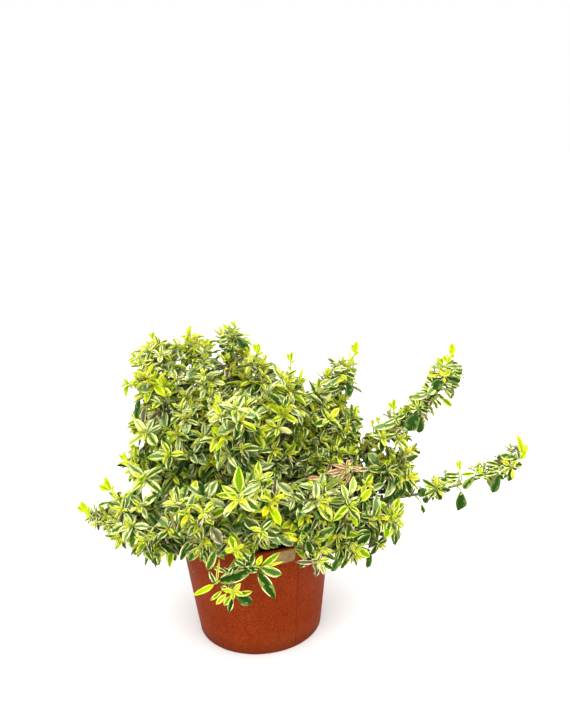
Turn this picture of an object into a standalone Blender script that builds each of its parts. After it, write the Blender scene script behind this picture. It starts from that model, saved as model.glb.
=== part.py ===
# A glossy abelia with cream-edged leaves, standing in its nursery pot.
# The plant is a short hidden stem, one tapering bough for each shoot, and one foliage mass on
# the end of each bough.  Metres, +Z up; the origin is the middle of the pot's flat underside,
# and -Y is the side with the shoots that hang over the rim.

import math
import random

import bmesh
import bpy
from mathutils import Vector
from mathutils.bvhtree import BVHTree

# Pot: a tapering plastic pot, 170 mm across its rim
POT_HEIGHT = 0.130
RIM_RADIUS = 0.085
BASE_RADIUS = 0.0677
WALL = 0.0014
FLOOR = 0.0020
BAND_HEIGHT = 0.018
BAND_PROUD = 0.0015
LIP_ROUND = 0.0008
FOOT_ROUND = 0.0016
POT_SIDES = 48
DRAIN_HOLES = 6
DRAIN_RADIUS = 0.0032
DRAIN_RING_RADIUS = 0.046

# Soil inside the pot
SOIL_TOP = 0.118
SOIL_HUMP = 0.0016

# Blank paper strip on the rim band
LABEL_BEARING = 291
LABEL_WIDTH = 0.026
LABEL_HEIGHT = 0.0145
LABEL_THICK = 0.0005
LABEL_DROP = 0.0015

# Clearances
SEAT_GAP = 0.0003
SOIL_SIDE_GAP = 0.00032
LABEL_GAP = 0.00036
LIMB_CLEARANCE = 0.0009
LEAF_CLEARANCE = 0.0005
POT_CLEARANCE = 0.0012

# Short stem inside the crown: a flare at the soil, a neck, and a round head that the boughs leave
FLARE_RADIUS = 0.0145
NECK_RADIUS = 0.0092
NECK_HEIGHT = 0.009
HEAD_RADIUS = 0.0150
HEAD_HEIGHT = 0.022
HEAD_ARC_DEG = (-50, -25, 0, 25, 50, 72)
TRUNK_SIDES = 18

# Limbs
BOUGH_RADIUS = 0.0025
SHOOT_TIP_RADIUS = 0.0014
BOUGH_SIDES = 6
BOUGH_RINGS = 5
STEM_RINGS = 6
LIMB_RINGS = 12
LIMB_END = 0.97
LEAVE_SHARE = 0.28
MIDDLE_SHARE = 0.80
SAG_AT_HEAD = 0.3

# How the boughs are spread round the head: least angle between two, step and rounds of
# pushing apart, and how far below the level one may point
BOUGH_SPREAD_DEG = 23.0
SPREAD_STEP = 0.02
SPREAD_ROUNDS = 300
LOWEST_WAY = -0.30

# Leaves and the twigs that carry them
LEAF_LENGTH = 0.048
LEAF_WIDTH = 0.0225
LEAF_THICK = 0.0013
LEAF_SHOULDERS = ((0.26, 0.82), (0.68, 1.0))
LEAF_TRIES = ((1.0, 0.0), (0.94, 0.4), (0.94, -0.4), (0.80, 0.0), (0.80, 0.8), (0.80, -0.8))
LEAST_SIZE = 0.88
TWIG_RADIUS = 0.0015
TWIG_TAPER = 0.7
TWIG_SHARE = 0.42
SPACE_OVERLAP = 0.008
SEED = 31

# Nodes along a shoot: their spacing, what they grow, and how far the side growth opens
NODE_STEP = 0.0142
SLIM_NODE_STEP = 0.0125
SLIM_REACH = 0.027
LEAST_BARE = 0.22
NODE_START = 0.45
NODE_TURN = 0.6
NODE_SWAY = 0.25
SWELL_LEAST = 0.72
SWELL_MORE = 0.38
SIDE_LEAF_SHARE = 1.45
SIDE_OPEN_DEG = (50, 68)

# Pairs of leaves on a side twig: share along it, size, and opening angle
TWIG_PAIRS = ((0.62, 0.95, 60), (0.97, 0.85, 42))
PAIR_SWAY = 0.2
PAIR_OPEN_SWAY = 0.15

# The shoot's tip: where its stem stops, in leaf lengths, its end leaf, and the pairs under that
STEM_STOP = 0.62
TIP_LEAF_BACK = 0.005
TIP_LEAF_SIZE = 0.66
TIP_LEAF_OPEN_DEG = 6
TIP_PAIR_STEP = 0.005
TIP_PAIRS = ((0.6, 0.80, 44), (1.6, 0.90, 56))

# The shoots: bearing in degrees from +X towards +Y, how far out and how high the tip reaches,
# how high the limb bows over a straight line, how far its leaves reach from it, and the share
# of the limb that is a bare bough.  With no bough, the foliage's own stem starts at the head.
SHOOTS = {
    "left_high": (171, 0.120, 0.300, 0.000, 0.032, 0.28),
    "left_top": (153, 0.114, 0.308, 0.000, 0.032, 0.32),
    "left_back_top": (136, 0.084, 0.312, 0.000, 0.028, 0.34),
    "top": (106, 0.070, 0.324, 0.000, 0.030, 0.32),
    "centre_top": (72, 0.034, 0.294, 0.000, 0.032, 0.30),
    "centre_right": (20, 0.050, 0.290, 0.000, 0.032, 0.28),
    "right_top": (26, 0.130, 0.290, -0.016, 0.029, 0.32),
    "arm_high": (8, 0.222, 0.304, -0.082, 0.026, 0.28),
    "arm_low": (356, 0.286, 0.214, -0.068, 0.022, 0.30),
    "left_mid": (180, 0.136, 0.212, -0.006, 0.032, 0.28),
    "left_low": (193, 0.178, 0.160, -0.010, 0.028, 0.28),
    "left_front": (208, 0.138, 0.122, 0.016, 0.030, 0.30),
    "front_low": (260, 0.124, 0.088, 0.050, 0.028, 0.36),
    "front_centre": (274, 0.100, 0.202, 0.000, 0.036, 0.22),
    "front_left": (234, 0.116, 0.186, 0.000, 0.034, 0.26),
    "front_right": (312, 0.112, 0.182, 0.000, 0.034, 0.26),
    "rim_left": (240, 0.106, 0.140, 0.014, 0.030, 0.00),
    "rim_front": (276, 0.100, 0.152, 0.010, 0.030, 0.00),
    "rim_right": (303, 0.116, 0.122, 0.022, 0.030, 0.00),
    "right_upper": (14, 0.118, 0.226, -0.004, 0.032, 0.28),
    "right_low": (330, 0.136, 0.098, 0.034, 0.030, 0.32),
    "right_side": (346, 0.166, 0.126, 0.012, 0.030, 0.28),
    "right_mid": (0, 0.168, 0.190, -0.012, 0.030, 0.28),
    "crown_mid": (250, 0.044, 0.272, 0.000, 0.038, 0.00),
    "back_left": (150, 0.146, 0.222, -0.004, 0.034, 0.28),
    "back_top": (84, 0.112, 0.252, 0.000, 0.036, 0.28),
    "back_right": (44, 0.144, 0.208, -0.006, 0.034, 0.28),
    "back_low_left": (134, 0.150, 0.144, 0.016, 0.034, 0.28),
    "back_low": (92, 0.152, 0.148, 0.016, 0.034, 0.28),
    "back_low_right": (50, 0.152, 0.140, 0.018, 0.034, 0.28),
}

# Finishes: colour, roughness
SHARP_EDGE_DEG = 35
FINISHES = {
    "pot_plastic": ((0.30, 0.045, 0.011), 0.55),
    "soil": ((0.020, 0.013, 0.009), 0.95),
    "paper": ((0.42, 0.34, 0.20), 0.85),
    "bark": ((0.16, 0.12, 0.07), 0.80),
    "leaves": ((0.28, 0.42, 0.07), 0.50),
}


def clear_scene():
    for item in list(bpy.data.objects):
        bpy.data.objects.remove(item, do_unlink=True)


def finish(name):
    # One shared material for each finish
    material = bpy.data.materials.get(name)
    if material is None:
        colour, roughness = FINISHES[name]
        material = bpy.data.materials.new(name)
        material.use_nodes = True
        shader = material.node_tree.nodes["Principled BSDF"]
        shader.inputs["Base Color"].default_value = (*colour, 1.0)
        shader.inputs["Roughness"].default_value = roughness
        shader.inputs["Metallic"].default_value = 0.0
    return material


def place(name, mesh, material, smooth=False):
    piece = bpy.data.objects.new(name, mesh)
    bpy.context.scene.collection.objects.link(piece)
    mesh.materials.append(finish(material))
    if smooth:
        mesh.shade_smooth()
        mesh.set_sharp_from_angle(angle=math.radians(SHARP_EDGE_DEG))
    return piece


def turned_mesh(name, profile, sides):
    # A closed turned shape from (radius, height) points that start and end on the axis
    shape = bmesh.new()
    points = [shape.verts.new((radius, 0.0, height)) for radius, height in profile]
    lines = [shape.edges.new(pair) for pair in zip(points, points[1:])]
    bmesh.ops.spin(shape, geom=points + lines, cent=(0, 0, 0), axis=(0, 0, 1),
                   angle=math.tau, steps=sides, use_duplicate=False)
    bmesh.ops.remove_doubles(shape, verts=shape.verts, dist=1e-6)
    bmesh.ops.recalc_face_normals(shape, faces=shape.faces)
    mesh = bpy.data.meshes.new(name)
    shape.to_mesh(mesh)
    shape.free()
    return mesh


def wall_radius(height):
    # Outside of the wall under the rim band
    share = height / POT_HEIGHT
    return BASE_RADIUS + (RIM_RADIUS - BAND_PROUD - BASE_RADIUS) * share


def inner_radius(height):
    return wall_radius(height) - WALL


def band_radius(height):
    # Outside of the rim band, which leans out a little more than the wall
    foot = POT_HEIGHT - BAND_HEIGHT
    foot_radius = wall_radius(foot) + BAND_PROUD
    return foot_radius + (RIM_RADIUS - foot_radius) * (height - foot) / BAND_HEIGHT


def pot_profile():
    band_foot = POT_HEIGHT - BAND_HEIGHT
    return [
        (0.0, 0.0),
        (BASE_RADIUS - FOOT_ROUND, 0.0),
        (BASE_RADIUS - FOOT_ROUND * 0.3, FOOT_ROUND * 0.3),
        (wall_radius(FOOT_ROUND), FOOT_ROUND),
        (wall_radius(band_foot), band_foot),
        (band_radius(band_foot), band_foot + BAND_PROUD * 0.5),
        (RIM_RADIUS, POT_HEIGHT - LIP_ROUND),
        (RIM_RADIUS - LIP_ROUND, POT_HEIGHT),
        (inner_radius(POT_HEIGHT) + LIP_ROUND * 0.5, POT_HEIGHT),
        (inner_radius(POT_HEIGHT - LIP_ROUND), POT_HEIGHT - LIP_ROUND),
        (inner_radius(FLOOR), FLOOR),
        (0.0, FLOOR),
    ]


def add_pot():
    pot = place("pot", turned_mesh("pot", pot_profile(), POT_SIDES), "pot_plastic", smooth=True)
    for index in range(DRAIN_HOLES):
        angle = math.tau * (index / DRAIN_HOLES + 0.5 / POT_SIDES)
        bpy.ops.mesh.primitive_cylinder_add(
            vertices=8, radius=DRAIN_RADIUS, depth=FLOOR * 4,
            location=(DRAIN_RING_RADIUS * math.cos(angle), DRAIN_RING_RADIUS * math.sin(angle), FLOOR / 2))
        drill = bpy.context.object
        drill.name = f"drain_cutter_{index}"
        drill.hide_render = True
        drill.display_type = "WIRE"
        hole = pot.modifiers.new(f"drain_{index}", "BOOLEAN")
        hole.operation = "DIFFERENCE"
        hole.object = drill
    return pot


def add_soil():
    # Its sides follow the pot's wall, and its top humps a little between the flat middle and the wall
    top_radius = inner_radius(SOIL_TOP) - SOIL_SIDE_GAP
    foot = FLOOR + SEAT_GAP
    profile = [(0.0, foot), (inner_radius(foot) - SOIL_SIDE_GAP, foot), (top_radius, SOIL_TOP - SOIL_HUMP)]
    for share, lift in ((0.86, 0.4), (0.66, 1.0), (0.44, 0.2)):
        profile.append((top_radius * share, SOIL_TOP + SOIL_HUMP * (lift - 0.2)))
    profile += [(FLARE_RADIUS * 1.5, SOIL_TOP), (0.0, SOIL_TOP)]
    return place("soil", turned_mesh("soil", profile, POT_SIDES), "soil")


def add_label():
    # A thin strip that follows the rim band, clear of it by the seat gap
    high = POT_HEIGHT - LABEL_DROP
    low = high - LABEL_HEIGHT
    steps = 6
    half = LABEL_WIDTH / 2 / RIM_RADIUS
    shape = bmesh.new()
    rings = []
    for index in range(steps + 1):
        angle = math.radians(LABEL_BEARING) - half + 2 * half * index / steps
        ring = []
        for height, out in ((low, 0), (low, 1), (high, 1), (high, 0)):
            radius = band_radius(height) + LABEL_GAP + LABEL_THICK * out
            ring.append(shape.verts.new((radius * math.cos(angle), radius * math.sin(angle), height)))
        rings.append(ring)
    for first, second in zip(rings, rings[1:]):
        for corner in range(4):
            after = (corner + 1) % 4
            shape.faces.new((first[corner], first[after], second[after], second[corner]))
    shape.faces.new(rings[0])
    shape.faces.new(reversed(rings[-1]))
    bmesh.ops.recalc_face_normals(shape, faces=shape.faces)
    mesh = bpy.data.meshes.new("pot_label")
    shape.to_mesh(mesh)
    shape.free()
    return place("pot_label", mesh, "paper")


def head_centre():
    return Vector((0.0, 0.0, SOIL_TOP + SEAT_GAP + HEAD_HEIGHT))


def add_trunk():
    foot = SOIL_TOP + SEAT_GAP
    profile = [
        (0.0, foot),
        (FLARE_RADIUS, foot),
        (FLARE_RADIUS * 0.76, foot + NECK_HEIGHT * 0.35),
        (NECK_RADIUS, foot + NECK_HEIGHT * 0.8),
    ]
    for degrees in HEAD_ARC_DEG:
        angle = math.radians(degrees)
        profile.append((HEAD_RADIUS * math.cos(angle), head_centre().z + HEAD_RADIUS * math.sin(angle)))
    profile.append((0.0, head_centre().z + HEAD_RADIUS))
    return place("stem_base", turned_mesh("stem_base", profile, TRUNK_SIDES), "bark", smooth=True)


def shoot_tip(shoot):
    bearing = math.radians(shoot[0])
    return Vector((shoot[1] * math.cos(bearing), shoot[1] * math.sin(bearing), shoot[2]))


def spread_anchors():
    # The way each bough leaves the head, pushed apart until no two are too close
    ways = {}
    for name, shoot in SHOOTS.items():
        bow = shoot[3] if shoot[3] > 0 else shoot[3] * SAG_AT_HEAD
        way = (shoot_tip(shoot) - head_centre()) * 0.5 + Vector((0, 0, bow))
        ways[name] = way.normalized()
    least = math.radians(BOUGH_SPREAD_DEG)
    for _ in range(SPREAD_ROUNDS):
        moved = False
        for name in ways:
            push = Vector()
            for other in ways:
                if other != name and ways[name].angle(ways[other]) < least:
                    push += (ways[name] - ways[other]).normalized()
            if push.length > 0:
                ways[name] = (ways[name] + push.normalized() * SPREAD_STEP).normalized()
                moved = True
            ways[name].z = max(ways[name].z, LOWEST_WAY)
            ways[name].normalize()
        if not moved:
            break
    return ways


def limb_curve(name, way):
    # Four control points of the whole limb, from the head's surface to the shoot's tip
    shoot = SHOOTS[name]
    start = head_centre() + way * (HEAD_RADIUS + SEAT_GAP)
    tip = shoot_tip(shoot)
    length = (tip - start).length
    leave = start + way * length * LEAVE_SHARE
    middle = start.lerp(tip, MIDDLE_SHARE) + Vector((0, 0, shoot[3]))
    return start, leave, middle, tip


def on_curve(curve, share):
    first, second, third, fourth = curve
    rest = 1 - share
    early = first * rest**3 + second * (3 * rest**2 * share)
    late = third * (3 * rest * share**2) + fourth * share**3
    return early + late


def along_curve(curve, share):
    first, second, third, fourth = curve
    rest = 1 - share
    slope = (second - first) * rest**2 + (third - second) * (2 * rest * share) + (fourth - third) * share**2
    return slope.normalized()


def limb_radius(share):
    return BOUGH_RADIUS + (SHOOT_TIP_RADIUS - BOUGH_RADIUS) * share


def side_ways(along):
    # Two directions square to the limb, the second as near to upwards as can be
    across = along.cross(Vector((0, 0, 1)))
    if across.length < 0.05:
        across = Vector((1, 0, 0))
    across.normalize()
    return across, across.cross(along).normalized()


class Solid:
    # Points and faces of one closed shape
    def __init__(self, points, faces):
        self.points = points
        self.faces = faces

    def tree(self):
        return BVHTree.FromPolygons(self.points, self.faces)

    def low(self):
        return Vector([min(point[axis] for point in self.points) for axis in range(3)])

    def high(self):
        return Vector([max(point[axis] for point in self.points) for axis in range(3)])


def tube(centres, alongs, radii, sides):
    points, faces = [], []
    for centre, along, radius in zip(centres, alongs, radii):
        across, up = side_ways(along)
        for index in range(sides):
            angle = math.tau * index / sides + math.pi / 2
            points.append(centre + (across * math.cos(angle) + up * math.sin(angle)) * radius)
    for ring in range(len(centres) - 1):
        for index in range(sides):
            after = (index + 1) % sides
            low, high = ring * sides, (ring + 1) * sides
            faces.append((low + index, high + index, high + after, low + after))
    faces.append(tuple(range(sides)))
    faces.append(tuple(reversed(range((len(centres) - 1) * sides, len(centres) * sides))))
    return Solid(points, faces)


def limb_tube(curve, start, end, rings, sides, grow=0.0, trim=0.0):
    # A tapering length of the limb; trim takes a little off its far end
    shares = [start + (end - start) * index / (rings - 1) for index in range(rings)]
    centres = [on_curve(curve, share) for share in shares]
    alongs = [along_curve(curve, share) for share in shares]
    centres[-1] = centres[-1] - alongs[-1] * trim
    radii = [limb_radius(share) + grow for share in shares]
    return tube(centres, alongs, radii, sides)


def leaf_solid(root, along, face_up, length, grow=0.0):
    # A low roof over a flat underside: six points and eight triangles
    across = along.cross(face_up).normalized()
    width = LEAF_WIDTH * length / LEAF_LENGTH + 2 * grow
    depth = face_up * (LEAF_THICK + grow)
    lift = face_up * grow
    (near, near_width), (far, far_width) = LEAF_SHOULDERS
    points = [
        root + lift,
        root + along * length * near + across * width * near_width / 2 - depth,
        root + along * length * far + across * width * far_width / 2 - depth,
        root + along * (length + grow) + lift,
        root + along * length * far - across * width * far_width / 2 - depth,
        root + along * length * near - across * width * near_width / 2 - depth,
    ]
    faces = [(0, 3, 1), (1, 3, 2), (0, 5, 3), (5, 4, 3), (1, 2, 4, 5), (0, 1, 5), (3, 4, 2)]
    return Solid(points, faces)


def twig_solid(start, end, grow=0.0):
    along = (end - start).normalized()
    radii = (TWIG_RADIUS + grow, TWIG_RADIUS * TWIG_TAPER + grow)
    return tube((start, end), (along, along), radii, 3)


class Spot:
    # Where a solid is: the corners of its box, and its faces for overlap tests
    def __init__(self, solid):
        self.low = solid.low()
        self.high = solid.high()
        self.tree = solid.tree()

    def meets(self, other):
        near = all(self.low[i] <= other.high[i] and self.high[i] >= other.low[i] for i in range(3))
        return near and bool(self.tree.overlap(other.tree))


class Crown:
    # Keeps each mass to its own space, clear of every limb and of the other masses
    def __init__(self, curves, limbs):
        self.lines = {}
        for name, curve in curves.items():
            bare = SHOOTS[name][5]
            shares = [bare + (1 - bare) * index / 10 for index in range(11)]
            self.lines[name] = [on_curve(curve, share) for share in shares]
        self.limbs = limbs
        self.kept = {name: [] for name in curves}

    def distance(self, name, point):
        nearest = min((point - spot).length for spot in self.lines[name])
        return nearest - SHOOTS[name][4] * 0.5

    def is_home(self, name, point):
        own = self.distance(name, point) - SPACE_OVERLAP
        return all(own <= self.distance(other, point) for other in self.lines if other != name)

    def is_clear(self, name, solid):
        # Clear of the limbs and of what the other masses have grown
        wanted = Spot(solid)
        for limb, spot in self.limbs.items():
            if limb != name and wanted.meets(spot):
                return False
        for other, spots in self.kept.items():
            if other != name and any(wanted.meets(spot) for spot in spots):
                return False
        return True

    def crosses_own(self, name, spot, carriers):
        # Whether a solid would run through one of its own mass, apart from what it grows from
        return any(spot.meets(other) for other in self.kept[name] if other not in carriers)


def turned_about(vector, axis, angle):
    turn = vector * math.cos(angle) + axis.cross(vector) * math.sin(angle)
    return turn + axis * axis.dot(vector) * (1 - math.cos(angle))


class Mass:
    # One shoot's leaves and twigs, grown by rule along its stem
    def __init__(self, name, curve, crown, draw):
        self.name = name
        self.curve = curve
        self.crown = crown
        self.draw = draw
        self.reach = SHOOTS[name][4]
        self.solids = []
        self.leaves = 0
        stem = limb_tube(curve, SHOOTS[name][5], self.stem_end(), STEM_RINGS, 3)
        self.stem = Spot(stem)
        self.keep(stem, self.stem)

    def keep(self, solid, spot):
        self.solids.append(solid)
        self.crown.kept[self.name].append(spot)

    def length(self):
        spots = [on_curve(self.curve, index / 20) for index in range(21)]
        return sum((b - a).length for a, b in zip(spots, spots[1:]))

    def stem_end(self):
        # The stem stops short of the tip, which the end leaves reach
        return 1 - STEM_STOP * LEAF_LENGTH / self.length()

    def try_leaf(self, root, along, face_up, length, carriers):
        # The leaf is turned or shortened a little until it fits, or else skipped
        for shorten, turn in LEAF_TRIES:
            way = turned_about(along, face_up, turn)
            solid = leaf_solid(root, way, face_up, length * shorten)
            wide = leaf_solid(root, way, face_up, length * shorten, LEAF_CLEARANCE)
            tip = root + way * length * shorten
            if not self.crown.is_home(self.name, tip) or not clear_of_pot(wide):
                continue
            spot = Spot(solid)
            if not self.crown.crosses_own(self.name, spot, carriers) and self.crown.is_clear(self.name, wide):
                self.keep(solid, spot)
                self.leaves += 1
                carriers.append(spot)
                return

    def leaf_ways(self, axis, around, open_angle):
        # Direction of a leaf that leaves the axis, and the way its upper face looks
        across, up = side_ways(axis)
        outward = across * math.cos(around) + up * math.sin(around)
        along = (axis * math.cos(open_angle) + outward * math.sin(open_angle)).normalized()
        sky = axis * 0.7 + Vector((0, 0, 0.6)) + outward * 0.1
        face_up = (sky - along * along.dot(sky)).normalized()
        return along, face_up

    def add_pair(self, root, axis, length, open_angle, start, carriers):
        # Two leaves on opposite sides of a twig
        for index in range(2):
            around = start + math.pi * index + self.draw.uniform(-PAIR_SWAY, PAIR_SWAY)
            opened = open_angle * self.draw.uniform(1 - PAIR_OPEN_SWAY, 1 + PAIR_OPEN_SWAY)
            along, face_up = self.leaf_ways(axis, around, opened)
            self.try_leaf(root, along, face_up, length * self.draw.uniform(LEAST_SIZE, 1.0), carriers)

    def side_open(self):
        return math.radians(self.draw.uniform(*SIDE_OPEN_DEG))

    def add_side_leaf(self, root, axis, around, reach, carriers):
        along, face_up = self.leaf_ways(axis, around, self.side_open())
        self.try_leaf(root, along, face_up, min(LEAF_LENGTH, reach * SIDE_LEAF_SHARE), carriers)

    def add_side_twig(self, root, axis, around, reach, carriers):
        along, _ = self.leaf_ways(axis, around, self.side_open())
        end = root + along * (reach - LEAF_LENGTH * TWIG_SHARE)
        twig = twig_solid(root, end)
        wide = twig_solid(root, end, LEAF_CLEARANCE)
        spot = Spot(twig)
        if not self.crown.is_home(self.name, end) or not clear_of_pot(wide):
            return
        if self.crown.crosses_own(self.name, spot, carriers) or not self.crown.is_clear(self.name, wide):
            return
        before = self.leaves
        start = self.draw.uniform(0, math.tau)
        for share, size, degrees in TWIG_PAIRS:
            foot = root.lerp(end, share)
            self.add_pair(foot, along, LEAF_LENGTH * size, math.radians(degrees), start, [spot])
            start += math.pi / 2
        if self.leaves > before:
            self.keep(twig, spot)
            carriers.append(spot)

    def add_tip(self, end):
        # The leaf that reaches the shoot's tip, and the pairs under it
        root, axis = on_curve(self.curve, end - TIP_LEAF_BACK), along_curve(self.curve, end)
        along, face_up = self.leaf_ways(axis, math.pi / 2, math.radians(TIP_LEAF_OPEN_DEG))
        self.try_leaf(root, along, face_up, LEAF_LENGTH * TIP_LEAF_SIZE, [self.stem])
        start = 0.0
        for steps, size, degrees in TIP_PAIRS:
            spot = root - axis * TIP_PAIR_STEP * steps
            self.add_pair(spot, axis, LEAF_LENGTH * size, math.radians(degrees), start, [self.stem])
            start += math.pi / 2

    def grow(self):
        # Nodes in crossed pairs; at each one side grows a twig and the other a leaf
        bare, end = max(SHOOTS[self.name][5], LEAST_BARE), self.stem_end()
        slim = self.reach < SLIM_REACH
        steps = max(2, round(self.length() * (end - bare) / (SLIM_NODE_STEP if slim else NODE_STEP)))
        self.add_tip(end)
        for index in range(steps):
            share = bare + (end - bare) * (index + NODE_START) / steps
            root, axis = on_curve(self.curve, share), along_curve(self.curve, share)
            swell = SWELL_LEAST + SWELL_MORE * math.sin(math.pi * min(1.0, (index + 0.8) / steps))
            carriers = [self.stem]
            for side in range(2):
                around = index * math.pi / 2 + side * math.pi + NODE_TURN
                around += self.draw.uniform(-NODE_SWAY, NODE_SWAY)
                grow_side = self.add_side_leaf if slim or index % 2 != side else self.add_side_twig
                grow_side(root, axis, around, self.reach * swell, carriers)


def is_near_rim(point):
    # Lower than a little over the rim, and in line with the wall
    out = math.hypot(point.x, point.y)
    in_line = inner_radius(POT_HEIGHT) - POT_CLEARANCE < out < RIM_RADIUS + POT_CLEARANCE
    return in_line and point.z < POT_HEIGHT + POT_CLEARANCE


def is_near_soil(point):
    out = math.hypot(point.x, point.y)
    return out < RIM_RADIUS and point.z < SOIL_TOP + SOIL_HUMP + POT_CLEARANCE


def clear_of_pot(solid):
    # Its points, and the middles between them, are clear of the rim; its points also of the soil
    for index, point in enumerate(solid.points):
        if is_near_rim(point) or is_near_soil(point):
            return False
        if any(is_near_rim(point.lerp(other, 0.5)) for other in solid.points[:index]):
            return False
    return True


def mesh_of(name, solid):
    mesh = bpy.data.meshes.new(name)
    mesh.from_pydata([tuple(point) for point in solid.points], [], solid.faces)
    shape = bmesh.new()
    shape.from_mesh(mesh)
    bmesh.ops.recalc_face_normals(shape, faces=shape.faces)
    shape.to_mesh(mesh)
    shape.free()
    return mesh


def union(name, solids):
    # One Boolean union of the stem with a collection of its twigs and leaves
    base = place(name, mesh_of(name, solids[0]), "leaves")
    group = bpy.data.collections.new(f"{name}_parts")
    bpy.context.scene.collection.children.link(group)
    for index, solid in enumerate(solids[1:]):
        part = bpy.data.objects.new(f"{name}_part_{index}", mesh_of(f"{name}_part_{index}", solid))
        group.objects.link(part)
    joint = base.modifiers.new("join", "BOOLEAN")
    joint.operation = "UNION"
    joint.operand_type = "COLLECTION"
    joint.collection = group
    joint.solver = "MANIFOLD"  # EXACT loses the leaves of the two long arms
    bpy.context.view_layer.update()
    evaluated = base.evaluated_get(bpy.context.evaluated_depsgraph_get())
    joined = bpy.data.meshes.new_from_object(evaluated)
    base.modifiers.clear()
    base.data = joined
    for part in list(group.objects):
        bpy.data.objects.remove(part, do_unlink=True)
    bpy.data.collections.remove(group)
    keep_main_shell(base)
    return base


def keep_main_shell(piece):
    # A loose scrap or a sealed hollow left by the union is dropped
    shape = bmesh.new()
    shape.from_mesh(piece.data)
    shape.faces.ensure_lookup_table()
    waiting = set(shape.faces)
    shells = []
    while waiting:
        queue = [waiting.pop()]
        shell = list(queue)
        while queue:
            for edge in queue.pop().edges:
                for face in edge.link_faces:
                    if face in waiting:
                        waiting.remove(face)
                        shell.append(face)
                        queue.append(face)
        shells.append(shell)
    shells.sort(key=len, reverse=True)
    for shell in shells[1:]:
        bmesh.ops.delete(shape, geom=shell, context="FACES")
    shape.to_mesh(piece.data)
    shape.free()


def build_plant():
    draw = random.Random(SEED)
    ways = spread_anchors()
    curves = {name: limb_curve(name, ways[name]) for name in SHOOTS}
    limbs = {}
    for name, curve in curves.items():
        bare = SHOOTS[name][5]
        if bare > 0:
            wide = limb_tube(curve, 0.0, bare, LIMB_RINGS, BOUGH_SIDES, LIMB_CLEARANCE)
            limbs[f"bough_{name}"] = Spot(wide)
        limbs[name] = Spot(limb_tube(curve, bare, LIMB_END, LIMB_RINGS, BOUGH_SIDES, LIMB_CLEARANCE))
    crown = Crown(curves, limbs)
    masses = []
    for name, curve in curves.items():
        bare = SHOOTS[name][5]
        if bare > 0:
            bough = limb_tube(curve, 0.0, bare, BOUGH_RINGS, BOUGH_SIDES, trim=SEAT_GAP)
            place(f"bough_{name}", mesh_of(f"bough_{name}", bough), "bark", smooth=True)
        masses.append(Mass(name, curve, crown, draw))
    for mass in masses:
        mass.grow()
    for mass in masses:
        union(f"foliage_{mass.name}", mass.solids)
    return masses


def main():
    clear_scene()
    add_pot()
    add_soil()
    add_label()
    add_trunk()
    masses = build_plant()
    print("leaves", sum(mass.leaves for mass in masses), {mass.name: mass.leaves for mass in masses})


main()
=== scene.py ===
# Looks for a small evergreen shrub with cream-edged leaves, in its terracotta-coloured nursery pot
import math
import random

import bpy
import numpy as np
from mathutils import Matrix, Vector


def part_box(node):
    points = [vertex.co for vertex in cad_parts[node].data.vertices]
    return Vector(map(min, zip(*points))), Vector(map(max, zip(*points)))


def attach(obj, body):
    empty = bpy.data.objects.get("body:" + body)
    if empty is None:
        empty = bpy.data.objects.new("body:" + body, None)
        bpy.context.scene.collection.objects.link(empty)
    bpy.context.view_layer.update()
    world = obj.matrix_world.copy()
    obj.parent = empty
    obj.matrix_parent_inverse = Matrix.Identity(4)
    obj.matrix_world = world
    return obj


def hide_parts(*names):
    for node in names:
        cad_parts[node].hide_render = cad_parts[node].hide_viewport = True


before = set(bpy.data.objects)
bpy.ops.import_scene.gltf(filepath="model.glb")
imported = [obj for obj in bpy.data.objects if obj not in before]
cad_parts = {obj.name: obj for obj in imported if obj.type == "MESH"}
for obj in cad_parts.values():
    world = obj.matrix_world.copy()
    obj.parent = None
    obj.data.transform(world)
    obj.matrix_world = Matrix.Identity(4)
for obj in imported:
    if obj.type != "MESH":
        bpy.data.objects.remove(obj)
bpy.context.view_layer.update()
upwards = Vector((0, 0, 1))


def tone(red, green, blue):
    # A picture colour from 0 to 255 as a linear colour
    shares = [value / 255 for value in (red, green, blue)]
    return tuple(v / 12.92 if v <= 0.04045 else ((v + 0.055) / 1.055) ** 2.4 for v in shares) + (1.0,)


# Small tools

def pick(piece):
    if bpy.context.object and bpy.context.object.mode != "OBJECT":
        bpy.ops.object.mode_set(mode="OBJECT")
    bpy.ops.object.select_all(action="DESELECT")
    if piece:
        piece.select_set(True)
        bpy.context.view_layer.objects.active = piece


def editMesh(piece, vertTest=None, faceTest=None):
    # Into edit mode with only the vertices or faces picked that pass the test
    pick(piece)
    bpy.ops.object.mode_set(mode="EDIT")
    bpy.ops.mesh.select_mode(type="FACE" if faceTest else "VERT")
    bpy.ops.mesh.select_all(action="DESELECT")
    bpy.ops.object.mode_set(mode="OBJECT")
    for vert in piece.data.vertices:
        vert.select = bool(vertTest and vertTest(vert.co))
    for edge in piece.data.edges:
        edge.select = bool(vertTest and all(piece.data.vertices[i].select for i in edge.vertices))
    for face in piece.data.polygons:
        face.select = bool(faceTest and faceTest(face))
    bpy.ops.object.mode_set(mode="EDIT")


def applyAll(piece):
    pick(piece)
    bpy.ops.object.transform_apply(location=True, rotation=True, scale=True)
    for modifier in list(piece.modifiers):
        bpy.ops.object.modifier_apply(modifier=modifier.name)


def smooth(piece, degrees):
    pick(piece)
    bpy.ops.object.shade_smooth_by_angle(angle=math.radians(degrees))


def dress(piece, materials):
    piece.data.materials.clear()
    for material in materials:
        piece.data.materials.append(material)


def addPiece(name, data):
    piece = bpy.data.objects.new(name, data)
    bpy.context.scene.collection.objects.link(piece)
    return piece


def settle(piece, slot, *nodes):
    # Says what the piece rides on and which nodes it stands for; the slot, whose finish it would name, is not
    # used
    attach(piece, "root")
    if nodes:
        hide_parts(*nodes)


# Materials

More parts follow.
